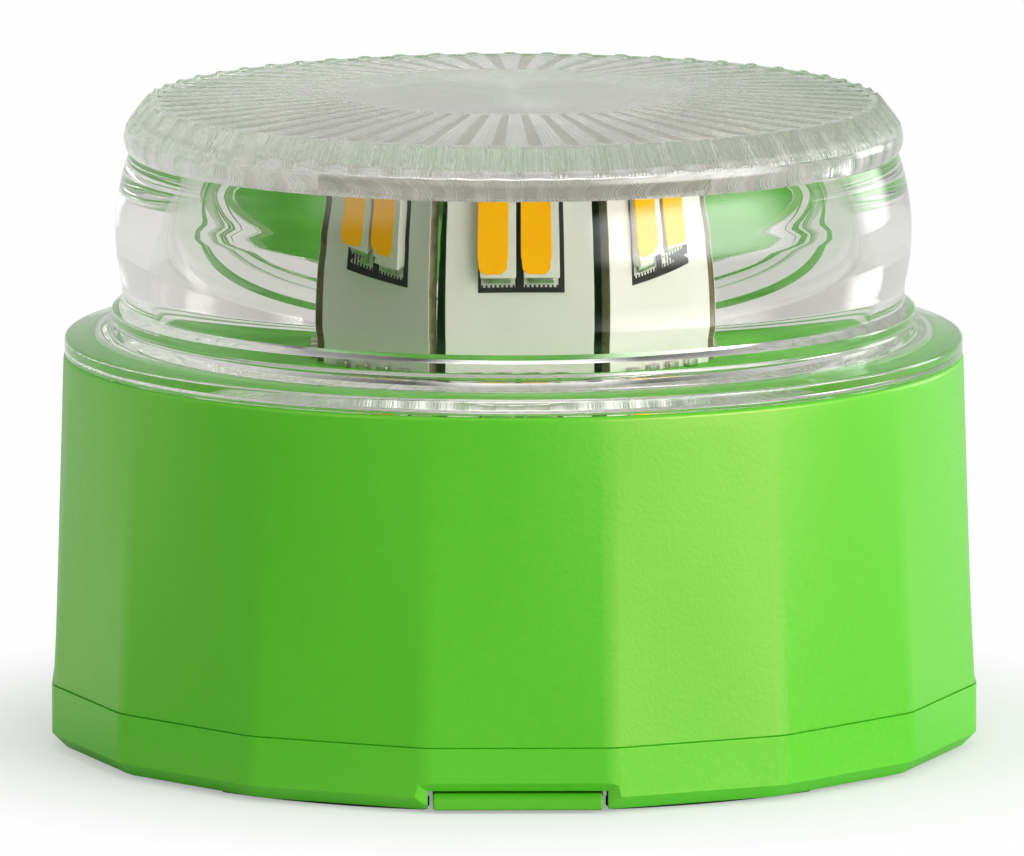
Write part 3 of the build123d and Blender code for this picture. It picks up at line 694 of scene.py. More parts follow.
@dataclass
class Profile:
    """A chain of (radius, height) points in millimetres, drawn from its last one on."""

    points: list[Point]

    def go(self, *points: Point) -> None:
        """Adds points."""
        self.points += points

    def line(self, end: Point, steps: int) -> None:
        """Goes straight on to a point in equal steps."""
        x, z = self.points[-1]
        self.go(*((x + (end[0] - x) * n / steps, z + (end[1] - z) * n / steps) for n in range(1, steps + 1)))

    def arc(self, middle: Point, end: Point, steps: int) -> None:
        """Goes on along the circle through a middle point to an end, in equal steps.

        Args:
            middle: a point on the way.
            end: the last point.
            steps: how many points to add.
        """
        (ax, ay), (bx, by), (cx, cy) = self.points[-1], middle, end
        d = 2 * (ax * (by - cy) + bx * (cy - ay) + cx * (ay - by))
        ux = ((ax**2 + ay**2) * (by - cy) + (bx**2 + by**2) * (cy - ay) + (cx**2 + cy**2) * (ay - by)) / d
        uy = ((ax**2 + ay**2) * (cx - bx) + (bx**2 + by**2) * (ax - cx) + (cx**2 + cy**2) * (bx - ax)) / d
        radius = math.hypot(ax - ux, ay - uy)
        first = math.atan2(ay - uy, ax - ux)
        turn = (math.atan2(cy - uy, cx - ux) - first) % math.tau
        if (math.atan2(by - uy, bx - ux) - first) % math.tau > turn:
            turn -= math.tau
        angles = (first + turn * n / steps for n in range(1, steps + 1))
        self.go(*((ux + radius * math.cos(angle), uy + radius * math.sin(angle)) for angle in angles))

    def quarter(self, size: float, end: Point, steps: int) -> None:
        """Goes on along a quarter circle that starts upright or level, and bulges out and up.

        Args:
            size: the circle's radius.
            end: the last point.
            steps: how many points to add.
        """
        cut = size * (1 - math.sqrt(0.5))
        (ax, ay), (bx, by) = self.points[-1], end
        self.arc((max(ax, bx) - cut, max(ay, by) - cut), end, steps)


# ---- lens


@dataclass
class Lens:
    """The clear lens: flange, bulged wall, rim bead and radial flutes over its top."""

    flutes: int = 60
    columns: int = 4
    fine_columns: int = 16
    bar_depth: float = 0.11
    bar_columns: float = 3.2
    slack: float = 0.1
    ribs: tuple[float, ...] = (1.0, 1.0, 1.0, 0.93, 0.6, 0.22, 0.04, -0.05, -0.08)
    bevel_ribs: tuple[float, ...] = (-0.08, -0.08, -0.08, -0.06, -0.02, 0.04, 0.08, 0.1, 0.1)
    ceiling_radii: tuple[float, ...] = (0.0, 8.0, 16.0, 23.0)
    bevel_foot: tuple[Point, Point] = ((-0.07, 0.26), (-0.22, 0.5))
    bevel_end: Point = (0.35, -0.3)
    bevel_tip: Point = (0.12, -0.06)
    top_lap: float = 0.2
    top_radii: tuple[float, ...] = (30.95, 30.8, 30.6, 30.3, 29.9, 29.3, 28.0, 26.0, 24.0, 22.0, 20.0,
                                    18.0, 16.6, 15.9, 15.5)
    disc_radii: tuple[float, ...] = (9.0, 3.0, 0.0)
    disc_radius: float = 15.1
    disc_step: float = 0.06
    disc_edge: float = 0.12
    bar_end_radius: float = 30.8
    bar_half: float = 3.4
    bar_tip: float = 0.9
    tip_fade: float = 0.2
    disc_fade: float = 0.6
    bar_share: float = 0.3
    rib_start: float = 0.35
    rib_depth: float = 1.5
    side_height: float = 1.2
    side_round: float = 0.35
    cone_width: float = 4.05
    cone_height: float = 2.7
    step_height: float = 4.0
    waist_set: float = 0.94
    waist_low: float = 4.5
    waist_high: float = 6.0
    belly: Point = (0.57, 10.9)
    shoulder_low: Point = (0.47, 12.6)
    shoulder_high: Point = (0.27, 13.9)
    shoulder_bow: float = 0.1
    neck_set: float = 0.64
    neck_height: float = 17.35
    rim_proud: float = 0.44
    rim_height: float = 18.95
    rim_under: float = 0.12
    bevel_height: float = 19.35
    bevel_width: float = 1.9
    top_edge_height: float = 21.8
    top_thickness: float = 3.4
    wall: float = 1.6
    draft: float = -0.35
    cavity_round: float = 1.3
    shell: float = 1.8
    lip: float = 0.57
    foot_slope: float = 0.3
    step_round: float = 0.12
    crease: float = 0.1
    air_gap: float = 0.06
    weld_width: float = 2.9
    weld_depth: float = 0.02
    merge: float = 0.006
    base: float = field(init=False)
    top: float = field(init=False)
    flange: float = field(init=False)

    def __post_init__(self) -> None:
        """Reads the lens's height and reach from the frame."""
        self.base, self.top, self.flange = reach_of("lens")

    @property
    def waist(self) -> float:
        """Radius of the narrow stretch just above the flange's step."""
        return self.flange - self.cone_width - self.waist_set

    @property
    def neck(self) -> float:
        """Radius of the groove under the rim bead."""
        return self.waist - self.neck_set

    @property
    def cavity(self) -> float:
        """Radius of the hollow round the tower."""
        return self.neck - self.wall

    @property
    def bevel_low(self) -> Point:
        """Where the rim bead meets the bevel."""
        return (self.neck + self.rim_proud - self.rim_under, self.base + self.bevel_height)

    @property
    def bevel_top(self) -> Point:
        """Where the bevel meets the fluted top."""
        return (self.bevel_low[0] - self.bevel_width, self.base + self.top_edge_height)

    def body_points(self) -> list[Point]:
        """The plain part of the profile: ceiling, inside, foot, wall and rim bead.

        Returns:
            The points.
        """
        base, flange = self.base, self.flange
        ceiling = self.top - self.top_thickness
        radii = (*self.ceiling_radii, self.cavity - self.cavity_round)
        chain = Profile([(radius, ceiling) for radius in radii])
        chain.quarter(self.cavity_round, (self.cavity, ceiling - self.cavity_round), 10)
        cone = (flange - self.cone_width, base + self.cone_height)
        inner_step = (cone[0] - self.shell, base + self.step_height - self.shell)
        chain.line((self.cavity + self.draft, inner_step[1] + self.foot_slope), 8)
        chain.go(inner_step)
        chain.line((inner_step[0], base + self.lip), 2)
        chain.line((flange - self.weld_width, base + self.air_gap), 3)
        chain.go((flange - self.weld_width + self.crease, base - self.weld_depth))
        chain.line((flange - self.crease, base - self.weld_depth), 2)
        chain.go((flange, base - self.weld_depth + self.crease))
        chain.line((flange, base + self.side_height), 2)
        corner = (flange - self.side_round, base + self.side_height + self.side_round)
        chain.quarter(self.side_round, corner, 4)
        chain.line(cone, 4)
        riser = cone[0] - self.crease / 2
        chain.go((riser, cone[1] + self.crease))
        chain.line((riser, base + self.step_height - self.step_round), 3)
        chain.go((riser - self.step_round, base + self.step_height))
        chain.line((self.waist, base + self.waist_low), 2)
        chain.line((self.waist, base + self.waist_high), 2)
        foot = (self.waist, base)
        shoulder = beside(foot, self.shoulder_high)
        neck = (self.neck, base + self.neck_height)
        chain.arc(beside(foot, self.belly), beside(foot, self.shoulder_low), 14)
        chain.line(shoulder, 2)
        chain.arc(((shoulder[0] + neck[0]) / 2 + self.shoulder_bow, (shoulder[1] + neck[1]) / 2), neck, 9)
        chain.arc((self.neck + self.rim_proud, base + self.rim_height), self.bevel_low, 10)
        return chain.points

    def top_points(self) -> list[Point]:
        """The fluted part of the profile: bevel, top and disc.

        Returns:
            The points.
        """
        edge_radius, edge_height = self.bevel_top
        slope = (self.top - edge_height) / (edge_radius - self.disc_radius)

        def on_top(radius: float) -> Point:
            """The point of the top at a radius."""
            return (radius, edge_height + slope * (edge_radius - radius))

        chain = Profile([self.bevel_low])
        chain.arc(*(beside(self.bevel_low, step) for step in self.bevel_foot), 3)
        chain.line(beside(self.bevel_top, self.bevel_end), 4)
        chain.go(beside(self.bevel_top, self.bevel_tip))
        radii = (edge_radius - self.top_lap, *self.top_radii, self.disc_radius)
        chain.go(*(on_top(radius) for radius in radii))
        disc = (self.disc_radius - self.disc_edge, *self.disc_radii)
        chain.go(*((radius, self.top - self.disc_step) for radius in disc))
        return chain.points

    def sink(self, radius: float, column: int) -> float:
        """How far the top sinks at a radius and a column, in millimetres.

        Args:
            radius: distance from the axis.
            column: columns from the middle of a bar.

        Returns:
            The depth, negative where a rib stands up.
        """
        share = self.ribs[column]
        inner = min(1.0, max(0.0, (radius - self.disc_radius) / self.disc_fade))
        tip = max(0.0, self.bar_end_radius - radius)
        if share > self.bar_share:
            reach = self.bar_half * math.sqrt(min(1.0, tip / self.bar_tip))
            share *= min(1.0, max(0.0, reach - column + 1))
            share *= min(1.0, tip / self.tip_fade)
        return inner * share * self.bar_depth

    def at_column(self, radius: float, column: int, low: float) -> Callable[[Vector], bool]:
        """A test for the top's vertices at a radius and a column, above a height.

        Args:
            radius: distance from the axis.
            column: columns from the middle of a bar.
            low: the height.

        Returns:
            The test, which takes a vertex's place in metres.
        """
        step = math.tau / self.flutes / self.fine_columns
        middle = self.fine_columns / 2
        angles = [(middle + side * column) * step for side in (-1, 1)]

        def here(place: Vector) -> bool:
            """The test."""
            if abs(math.hypot(place.x, place.y) / MM - radius) > 0.01 or place.z / MM < low:
                return False
            turn = abs(math.atan2(place.y, place.x))
            return any(abs(turn - angle) < step / 4 for angle in angles)

        return here

    def shape_flutes(self) -> None:
        """Sinks the bars and raises the ribs in the one sector being edited."""
        edge_radius, edge_height = self.bevel_top
        for radius, height in self.top_points()[1:-3]:
            for column in range(self.fine_columns // 2 + 1):
                if radius < edge_radius:
                    shift = Vector((0, 0, -self.sink(radius, column) * MM))
                else:
                    rise = (height - self.bevel_low[1]) / (edge_height - self.bevel_low[1])
                    fade = min(1.0, self.rib_start + rise)
                    shift = Vector((0, 0, self.bevel_ribs[column] * fade * self.rib_depth * MM))
                if shift.length < MERGE:
                    continue
                pick("VERT", self.at_column(radius, column, height - 0.01))
                bpy.ops.transform.translate(value=shift)

    def build(self) -> Piece:
        """Models one sector of the lens and copies it round.

        Returns:
            The lens.
        """
        sector = math.tau / self.flutes
        plain = draw_chain("lens_wall", self.body_points())
        spin(self.columns, sector)
        radius, height = self.bevel_low

        def on_seam(a: Vector, b: Vector) -> bool:
            """Whether an edge lies where the top joins the wall."""
            return all(abs(p.z - height * MM) < MERGE and p.xy.length > (radius - 0.01) * MM for p in (a, b))

        pick("EDGE", on_seam)
        bpy.ops.mesh.subdivide(number_cuts=self.fine_columns // self.columns - 1)
        done()
        fluted = draw_chain("lens_top", self.top_points())
        spin(self.fine_columns, sector)
        self.shape_flutes()
        done()
        lens = join([plain, fluted])
        named("clear_lens")
        clothe(lens, *map(material_of, (Finish.LENS, Finish.LENS_TOP, Finish.LENS_BAR)))
        edit(lens)
        bpy.ops.mesh.remove_doubles(threshold=self.merge * MM)
        self.frost_bars(lens)
        bpy.ops.mesh.select_all(action="SELECT")
        spin(self.flutes - 1, math.tau - sector, dupli=True)
        close_up(self.merge * MM)
        done()
        smooth(lens, 32.0)
        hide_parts("lens")
        return dress(lens, Finish.LENS, BODY)

    def frost_bars(self, lens: Piece) -> None:
        """Gives the top of the sector being edited its satin finish, and its sunken bars their texture and
        painted shade.

        Args:
            lens: the lens, open in edit mode.
        """
        step = math.tau / self.flutes / self.fine_columns
        middle = step * self.fine_columns / 2
        low = self.base + self.top_edge_height - self.bar_depth - self.slack

        def on_bar(centre: Vector, normal: Vector) -> bool:
            """Whether a face lies on a bar."""
            radius = centre.xy.length / MM
            turn = abs(abs(math.atan2(centre.y, centre.x)) - middle)
            return self.disc_radius + 0.4 < radius < self.bar_end_radius - 0.2 and centre.z / MM > low \
                and turn < step * self.bar_columns

        paint(lens, 1, lambda centre, normal: centre.z / MM > self.bevel_low[1])
        paint(lens, 2, on_bar)


# ---- casing


@dataclass
class Casing:
    """The faceted green shell, whose flats fade into a round top."""

    facets: int = 16
    blend_width: float = 0.9
    blend_segments: int = 4
    flat_steps: int = 8
    rings: int = 14
    top_radius: float = 38.75
    top_round: float = 0.45
    groove: float = 0.12
    rim_width: float = 3.85
    recess: float = 1.7
    shelf_width: float = 1.9
    shelf_thickness: float = 1.6
    bore: float = 37.5
    bore_top: float = 36.6
    low: float = field(init=False)
    high: float = field(init=False)
    apothem: float = field(init=False)
    radius: float = field(init=False)

    def __post_init__(self) -> None:
        """Reads the shell's heights and reach from the frame."""
        self.low, self.high, self.apothem = reach_of("housing")

    def widen(self, factor: float) -> None:
        """Sizes the selected outline about the axis."""
        if factor != 1:
            bpy.ops.transform.resize(value=(factor, factor, 1), center_override=(0, 0, 0))

    def raise_ring(self, rise: float, radius: float, roundness: float = 0.0) -> None:
        """Extrudes the selected outline upwards, then casts it towards a circle and sizes it.

        Args:
            rise: rise in millimetres.
            radius: the new outline's radius.
            roundness: 0 keeps the outline's shape and 1 makes it a circle.
        """
        bpy.ops.mesh.extrude_edges_move(TRANSFORM_OT_translate={"value": (0, 0, rise * MM)})
        if roundness:
            bpy.ops.transform.tosphere(value=roundness)
        self.widen(radius / self.radius)
        self.radius = radius

    def build(self) -> Piece:
        """Raises the shell ring by ring from its faceted foot, over the rim and down inside.

        Returns:
            The shell.
        """
        deselect()
        corner = self.apothem / math.cos(math.pi / self.facets)
        bpy.ops.mesh.primitive_circle_add(
            vertices=self.facets, radius=corner * MM, location=(0, 0, self.low * MM),
            rotation=(0, 0, math.pi / self.facets),
        )
        shell = settle(named("casing_shell"))
        edit(shell)
        bpy.ops.mesh.bevel(offset=self.blend_width * MM, segments=self.blend_segments, affect="VERTICES")
        longest = self.apothem * MM / 4

        pick("EDGE", lambda a, b: (a - b).length > longest)
        bpy.ops.mesh.subdivide(number_cuts=self.flat_steps)
        bpy.ops.mesh.select_all(action="SELECT")
        self.widen(1 - self.groove / self.apothem)
        bpy.ops.mesh.extrude_edges_move(TRANSFORM_OT_translate={"value": (0, 0, self.groove * MM)})
        self.widen(1 + self.groove / self.apothem)
        self.radius = self.mean_radius()
        self.raise_wall()
        self.turn_in()
        bpy.ops.mesh.select_all(action="SELECT")
        pick("EDGE", lambda a, b: max(abs(a.z - self.low * MM), abs(b.z - self.low * MM)) < MERGE)
        bpy.ops.mesh.bridge_edge_loops()
        close_up()
        done()
        smooth(shell, 35.0)
        apply_modifier(shell, "WEIGHTED_NORMAL", keep_sharp=True, weight=60)
        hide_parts("housing")
        return dress(shell, Finish.CASING, BODY)

    def raise_wall(self) -> None:
        """Raises the outline to the rim, rounder with each ring."""
        mean = self.radius
        rise = self.high - self.top_round - self.low - self.groove
        before = 0.0
        for ring in range(1, self.rings + 1):
            share = ring / self.rings
            target = mean + (self.top_radius - mean) * share
            self.raise_ring(rise / self.rings, target, (share - before) / (1 - before))
            before = share
        for turn in (30, 60, 90):
            angle, start = math.radians(turn), math.radians(turn - 30)
            target = self.top_radius - self.top_round * (1 - math.cos(angle))
            self.raise_ring(self.top_round * (math.sin(angle) - math.sin(start)), target)

    def turn_in(self) -> None:
        """Takes the outline in over the rim and the shelf, and down the bore."""
        rim = self.top_radius - self.rim_width
        shelf = rim - self.shelf_width
        under = -self.recess - self.shelf_thickness
        before = 0.0
        for radius, drop in ((rim, 0.0), (rim, -self.recess), (shelf, -self.recess), (shelf, under),
                             (self.bore_top, under), (self.bore, self.low - self.high)):
            self.raise_ring(drop - before, radius)
            before = drop

    def mean_radius(self) -> float:
        """The mean distance of the selected outline from the axis, in millimetres.

        Returns:
            The distance.
        """
        mesh = bmesh.from_edit_mesh(bpy.context.object.data)
        reach = [math.hypot(v.co.x, v.co.y) for v in mesh.verts if v.select]
        return sum(reach) / len(reach) / MM


@dataclass
class Cover:
    """The base cover and the battery door, as softened copies of their solids."""

    edge: float = 0.22
    flat: float = 0.6
    sharp: float = 24.0

    def softened(self, node: str, name: str, finish: Finish, body: str) -> Piece:
        """Copies a node's mesh, cleans its flat faces and rounds its edges.

        Args:
            node: the node that the piece replaces.
            name: the new piece's name.
            finish: what it wears.
            body: what it rides on.

        Returns:
            The piece.
        """
        deselect()
        piece = twin(bpy.data.objects[node], name)
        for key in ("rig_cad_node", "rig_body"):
            if key in piece:
                del piece[key]
        piece.parent = None
        piece.data.materials.clear()
        edit(piece)
        bpy.ops.mesh.remove_doubles(threshold=MERGE)
        bpy.ops.mesh.dissolve_limited(angle_limit=math.radians(self.flat))
        done()
        soften(piece, self.edge, 3, self.sharp)
        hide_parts(node)
        return dress(piece, finish, body)

    def build(self) -> None:
        """Makes both pieces."""
        self.softened("base_cover", "cover_shell", Finish.UNDERSIDE, BODY)
        self.softened("battery_door", "door_panel", Finish.TAB, DOOR)


# ---- LED tower


@dataclass
class Tower:
    """The eight upright boards with their LEDs, printed frames and solder."""

    sides: int = 8
    turn: float = 1.2
    board_width: float = 12.4
    board_thickness: float = 1.0
    apothem: float = 16.9
    led_width: float = 3.0
    led_length: float = 4.6
    led_thickness: float = 0.9
    led_pitch: float = 3.65
    window_width: float = 2.6
    window_length: float = 4.25
    window_set: float = -0.45
    window_cut: float = 0.6
    window_round: float = 0.4
    print_width: float = 0.22
    print_left: Point = (-0.14, 0.1)
    print_middle: Point = (-0.05, 0.02)
    print_right: Point = (-0.1, 0.42)
    teeth: int = 8
    print_reach: float = 0.74
    board_edge: float = 0.04
    led_rim: float = 0.2
    led_edge: float = 0.06
    window_edge: float = 0.03
    solder_edge: float = 0.12
    window_proud: float = 0.03
    window_sunk: float = 0.2
    terminal_length: float = 0.32
    terminal_width: float = 2.2
    terminal_proud: float = 0.35
    terminal_clear: float = 0.02
    joints: tuple[float, ...] = (-3.6, -1.2, 1.2, 3.6)
    joint_width: float = 1.2
    joint_height: float = 0.7
    print_proud: float = 0.03
    print_clear: float = 0.4
    tooth_half: float = 0.08
    tooth_height: float = 0.1
    low: float = field(init=False)
    high: float = field(init=False)
    led_middle: float = field(init=False)
    columns: Point = field(init=False)

    def __post_init__(self) -> None:
        """Reads the tower's heights from the frame."""
        self.low, self.high, _ = reach_of("led_board_1")
        self.led_middle = sum(reach_of("led_pair_1")[:2]) / 2
        self.columns = (-self.led_pitch / 2, self.led_pitch / 2)

    def plate(self, name: str, across: Point, up: Point, proud: float, sunk: float = 0.0) -> Piece:
        """A box on the front board.

        Args:
            name: the new piece's name.
            across: from left to right.
            up: from its foot to its top.
            proud: how far it stands out of the board's face.
            sunk: how far it goes into it.
        """
        face = -self.apothem
        return box_piece(name, (across[0], face - proud, up[0]), (across[1], face + sunk, up[1]))

    def board(self) -> Piece:
        """The front board: white mask in front, bare laminate round its edges.

        Returns:
            The board.
        """
        across, up = span(0.0, self.board_width / 2), (self.low, self.high)
        piece = self.plate("board_panel", across, up, 0.0, self.board_thickness)
        clothe(piece, *map(material_of, (Finish.LED_BOARD, Finish.BOARD_EDGE, Finish.MAIN_BOARD)))
        edit(piece)
        paint(piece, 1, lambda centre, normal: abs(normal.y) < 0.5)
        paint(piece, 2, lambda centre, normal: normal.y > 0.5)
        done()
        apply_modifier(piece, "BEVEL", width=self.board_edge * MM, segments=1)
        return piece

    def packages(self) -> Piece:
        """Two LED bodies, with the shallow bowl of each window pressed in.

        Returns:
            The bodies, as one piece.
        """
        bodies = []
        half, half_length = self.led_width / 2, self.led_length / 2
        ends = span(self.led_middle, half_length)
        for x in self.columns:
            bodies.append(self.plate("led_body", span(x, half), ends, self.led_thickness))
            edit(bodies[-1])
            pick("FACE", lambda centre, normal: normal.y < -0.5)
            bpy.ops.mesh.inset(thickness=self.led_rim * MM)
            done()
        return soften(join(bodies), self.led_edge)

    def windows(self) -> Piece:
        """Two phosphor windows with cut lower corners, standing just proud of the bodies, whose material adds
        a painted glow.

        Returns:
            The windows, as one piece.
        """
        made = []
        ends = span(self.led_middle, self.window_length / 2)
        proud, sunk = self.led_thickness + self.window_proud, self.window_sunk - self.led_thickness
        for x in (column + self.window_set for column in self.columns):
            window = self.plate("led_glow", span(x, self.window_width / 2), ends, proud, sunk)
            edit(window)
            for way, cut, segments in ((-1, self.window_cut, 2), (1, self.window_round, 3)):
                pick("EDGE", lambda a, b: abs(a.x - b.x) < MERGE and abs(a.z - b.z) < MERGE
                     and (a.z - self.led_middle * MM) * way > 0)
                bpy.ops.mesh.bevel(offset=cut * MM, segments=segments, affect="EDGES")
            done()
            made.append(window)
        return soften(join(made), self.window_edge, 1)

    def terminals(self) -> Piece:
        """Solder at the lower and upper ends of both LEDs, and the joints at the board's foot.

        Returns:
            The solder, as one piece.
        """
        made = []
        for x in self.columns:
            for way in (-1, 1):
                near = self.led_middle + way * self.led_length / 2
                low, high = sorted((near, near + way * self.terminal_length))
                ends = (low, min(high, self.high - self.terminal_clear))
                across = span(x, self.terminal_width / 2)
                made.append(self.plate("terminal", across, ends, self.terminal_proud))
        half = self.joint_width / 2
        ends = (self.low, self.low + self.joint_height)
        made += [self.plate("joint", span(x, half), ends, half) for x in self.joints]
        return soften(join(made), self.solder_edge, 3)

    def printing(self) -> Piece:
        """The black printed bracket round both LEDs, with a comb along its foot.

        Returns:
            The bracket, as one piece.
        """
        low = self.led_middle - self.led_length / 2 - self.print_reach
        foot = low + self.print_width
        half = self.led_width / 2
        edge, inner = self.columns[1] + half, self.columns[1] - half
        bars = (beside((-edge, -edge), self.print_left), beside((-inner, inner), self.print_middle),
                beside((edge, edge), self.print_right))
        marks = [(bar, (low, self.high - self.print_clear)) for bar in bars]
        for x in self.columns:
            marks.append((span(x, half), (low, foot)))
            for tooth in range(self.teeth):
                middle = x + (tooth + 0.5 - self.teeth / 2) * self.led_width / self.teeth
                marks.append((span(middle, self.tooth_half), (foot, foot + self.tooth_height)))
        return join([self.plate("print", across, up, self.print_proud) for across, up in marks])

    def build(self) -> None:
        """Models the front side of the tower once and copies it to the other sides."""
        front = {
            "board_panel": (self.board(), Finish.LED_BOARD, "led_board", "led_board"),
            "led_bodies": (self.packages(), Finish.PACKAGE, "led_package", "led_pair"),
            "led_glow": (self.windows(), Finish.PHOSPHOR, "led_window", "led_window"),
            "led_solder": (self.terminals(), Finish.SOLDER, "contacts", None),
            "led_print": (self.printing(), Finish.PRINT, "led_board", None),
        }
        for name, (model, finish, slot, node) in front.items():
            for number in range(1, self.sides + 1):
                angle = self.turn + 360 / self.sides * (number - 1)
                piece = copy_round(model, f"{name}_{number}", angle)
                if node:
                    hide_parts(f"{node}_{number}")
                dress(piece, finish, BODY)
            bpy.data.objects.remove(model)


# ---- plain nodes


@dataclass
class Inside:
    """The nodes whose own solids stay, each with its finish."""

    wearers: dict[Finish, str] = field(default_factory=lambda: {
        Finish.SEAL: "lens_seal base_seal door_seal",
        Finish.STEEL: "base_screws tray_screws switch_screws",
        Finish.FOOT: "foot_pads",
        Finish.MAIN_BOARD: "main_board switch_board",
        Finish.TOP_BOARD: "top_board",
        Finish.BLACK: "battery_tray tact_switch",
        Finish.NICKEL: "battery_contacts battery_springs capacitors magnet_1 magnet_2 magnet_3 magnet_4",
        Finish.RED_LEAD: "red_wire",
        Finish.BLACK_LEAD: "black_wire",
        Finish.RUBBER: "power_button",
        Finish.EPOXY: "microcontroller inductor resistors",
        Finish.CELL: "battery_cell_1 battery_cell_2 battery_cell_3",
    })

    def dress(self) -> None:
        """Assigns each node's finish to its material slots."""
        pairs = [(name, finish) for finish, names in self.wearers.items() for name in names.split()]
        for name, finish in pairs:
            node = bpy.data.objects[name]
            if not node.material_slots:
                node.data.materials.append(None)
            for slot in node.material_slots:
                slot.material = material_of(finish)
            LOG.info("node %s wears %s", name, finish.name)


# ---- studio


@dataclass(frozen=True)
class Lamp:
    """A softbox aimed at the beacon, whose light fades towards its edges.

    Azimuths are degrees to the right of the camera's side, sizes are millimetres and the power is in watts.
    """

    name: str
    azimuth: float
    elevation: float
    distance: float
    width: float
    height: float
    power: float
    target: float = 30.0
    fade: float = 0.34

    def build(self) -> None:
        """Adds the lamp."""
        data = bpy.data.lights.new(self.name, "AREA")
        data.shape = "RECTANGLE"
        data.size, data.size_y = self.width * MM, self.height * MM
        data.energy = self.power
        data.use_nodes = True
        wiring = Wiring(data.node_tree)
        place = wiring.add("ShaderNodeNewGeometry").outputs["Parametric"]
        split = wiring.add("ShaderNodeSeparateXYZ", {0: place}).outputs
        fades = []
        for axis in ("X", "Y"):
            inputs = {"Value": wiring.math("PINGPONG", split[axis], 0.5), "From Max": self.fade}
            fades.append(wiring.add("ShaderNodeMapRange", inputs, interpolation_type="SMOOTHSTEP").outputs[0])
        wiring.link(wiring.math("MULTIPLY", *fades), wiring.tree.nodes["Emission"].inputs["Strength"])
        stand(self.name, data, self.target, self.azimuth, self.elevation, self.distance)


def stand(name: str, data: bpy.types.ID, target: float, azimuth: float, elevation: float,
          distance: float) -> Piece:
    """Adds a camera or a lamp, aimed at a height on the beacon's axis.

    Args:
        name: the new object's name.
        data: its camera or lamp.
        target: the height in millimetres.
        azimuth: degrees to the right of the camera's side.
        elevation: degrees above the floor.
        distance: millimetres from the target.

    Returns:
        The object.
    """
    across, up = math.radians(azimuth), math.radians(elevation)
    away = Vector((math.sin(across) * math.cos(up), -math.cos(across) * math.cos(up), math.sin(up)))
    piece = bpy.data.objects.new(name, data)
    piece.location = Vector((0, 0, target * MM)) + away * distance * MM
    piece.rotation_euler = (-away).to_track_quat("-Z", "Y").to_euler()
    bpy.context.scene.collection.objects.link(piece)
    return piece


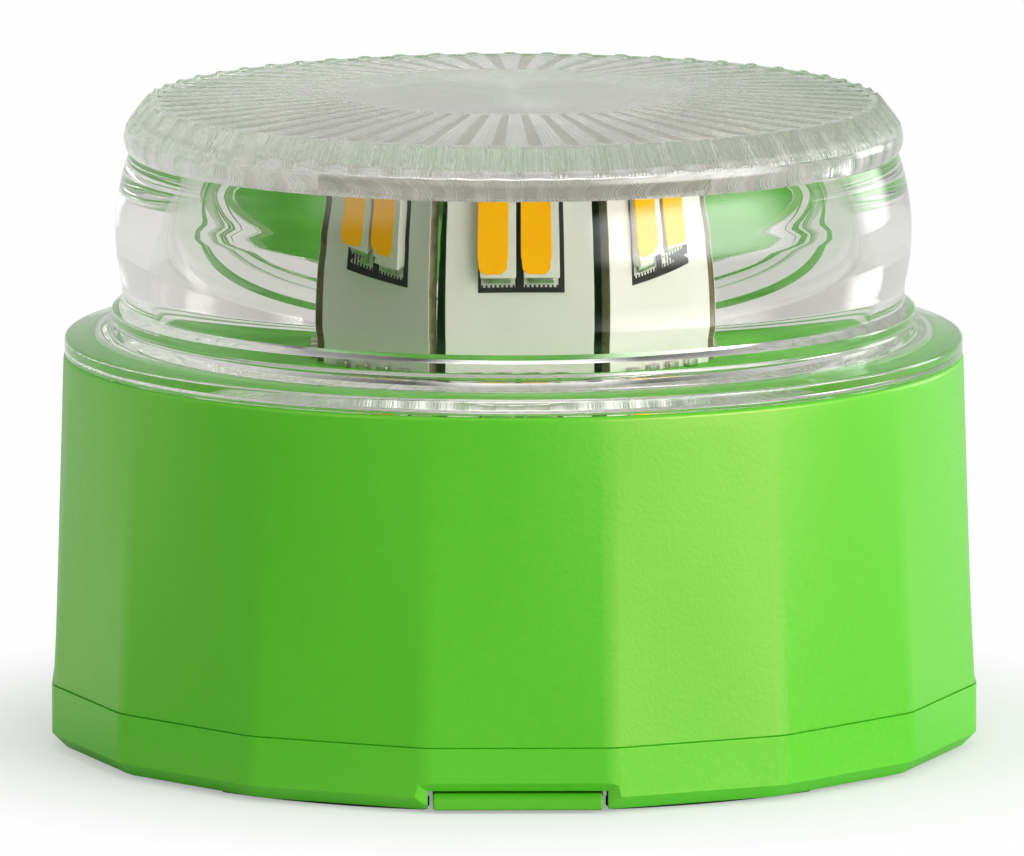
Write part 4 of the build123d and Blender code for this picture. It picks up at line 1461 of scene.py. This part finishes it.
@dataclass
class Studio:
    """White floor and surroundings, soft lamps and the camera."""

    distance: float = 1200.0
    elevation: float = 8.7
    azimuth: float = -0.55
    focus_height: float = 26.7
    lens: float = 489.4
    shift: float = -0.0015
    floor_size: float = 6000.0
    floor_tone: float = 0.85
    surround: float = 0.48
    lamps: tuple[Lamp, ...] = (
        Lamp("key_lamp", 54, 14, 900, 1300, 560, 17.3),
        Lamp("fill_lamp", -50, 32, 1200, 900, 900, 3.3),
        Lamp("top_lamp", 10, 78, 900, 900, 900, 3.8),
        Lamp("rim_lamp", 128, 12, 1000, 500, 700, 4.0),
    )
    bounces: int = 24
    shadow: Point = (34.0, 62.0)
    shadow_glow: float = 0.3
    floor_glow: float = 0.985
    through_front: float = 0.6
    mirror_front: float = 0.04
    mirror_behind: float = 0.64
    behind: float = 0.78
    turn: Point = (-0.35, 0.25)

    def camera(self) -> None:
        """Adds the camera, aimed at the beacon's middle."""
        data = bpy.data.cameras.new("camera")
        data.lens = self.lens
        data.sensor_width = 36.0
        data.shift_x = self.shift
        data.clip_start = 0.01
        bpy.context.scene.camera = stand(
            "camera", data, self.focus_height, self.azimuth, self.elevation, self.distance
        )

    def floor(self) -> None:
        """Adds the white floor, which keeps a light shadow round the beacon's foot."""
        deselect()
        bpy.ops.mesh.primitive_plane_add(size=self.floor_size * MM)
        floor = named("floor")
        recipe = Recipe("white_floor")
        recipe.set(Base_Color=(self.floor_tone,) * 3 + (1,), Roughness=0.9)
        place = recipe.place()
        depth = recipe.add("ShaderNodeSeparateXYZ", {0: place}).outputs["Y"]
        reach = recipe.add("ShaderNodeVectorMath", {0: place}, operation="LENGTH").outputs["Value"]
        front = recipe.spread(recipe.math("DIVIDE", depth, reach), self.mirror_front, self.behind, *self.turn)
        bright = recipe.math("MAXIMUM", front, recipe.rays("Is Camera Ray"))
        glow = recipe.add("ShaderNodeEmission", {"Strength": bright})
        share = recipe.spread(reach, self.shadow_glow, self.floor_glow, *(edge * MM for edge in self.shadow))
        rays = recipe.rays("Is Camera Ray", "Is Glossy Ray", "Is Transmission Ray")
        recipe.overlay(recipe.math("MULTIPLY", share, rays), glow)
        clothe(floor, recipe.material)

    def world(self) -> None:
        """Makes the surroundings white behind the beacon, dim on the lamps' side, and soft as light."""
        world = bpy.data.worlds.new("surroundings")
        world.use_nodes = True
        bpy.context.scene.world = world
        wiring = Wiring(world.node_tree)
        plain = wiring.tree.nodes["Background"]
        plain.inputs["Strength"].default_value = self.surround
        plain.inputs["Color"].default_value = WHITE
        toward = wiring.add("ShaderNodeTexCoord").outputs["Generated"]
        depth = wiring.add("ShaderNodeSeparateXYZ", {0: toward}).outputs["Y"]
        shader = plain.outputs[0]
        kinds = (("Is Transmission Ray", self.through_front, self.behind),
                 ("Is Glossy Ray", self.mirror_front, self.mirror_behind), ("Is Camera Ray", 1.0, 1.0))
        for kind, front, back in kinds:
            share = wiring.spread(depth, front, back, *self.turn)
            white = wiring.add("ShaderNodeBackground", {"Color": WHITE, "Strength": share}).outputs[0]
            shader = wiring.add("ShaderNodeMixShader", {0: wiring.rays(kind), 1: shader, 2: white}).outputs[0]
        wiring.link(shader, wiring.tree.nodes["World Output"].inputs["Surface"])

    def build(self) -> None:
        """Sets up the whole studio."""
        scene = bpy.context.scene
        scene.view_settings.view_transform = "Standard"
        for kind in ("max", "glossy", "transmission"):
            setattr(scene.cycles, f"{kind}_bounces", self.bounces)
        self.camera()
        self.floor()
        self.world()
        for lamp in self.lamps:
            lamp.build()


def main() -> None:
    """Builds the dressed beacon and its studio."""
    logging.basicConfig(level=logging.INFO, format="%(message)s")
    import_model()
    Studio().build()
    Inside().dress()
    Casing().build()
    Cover().build()
    Tower().build()
    Lens().build()


if __name__ == "__main__":
    main()
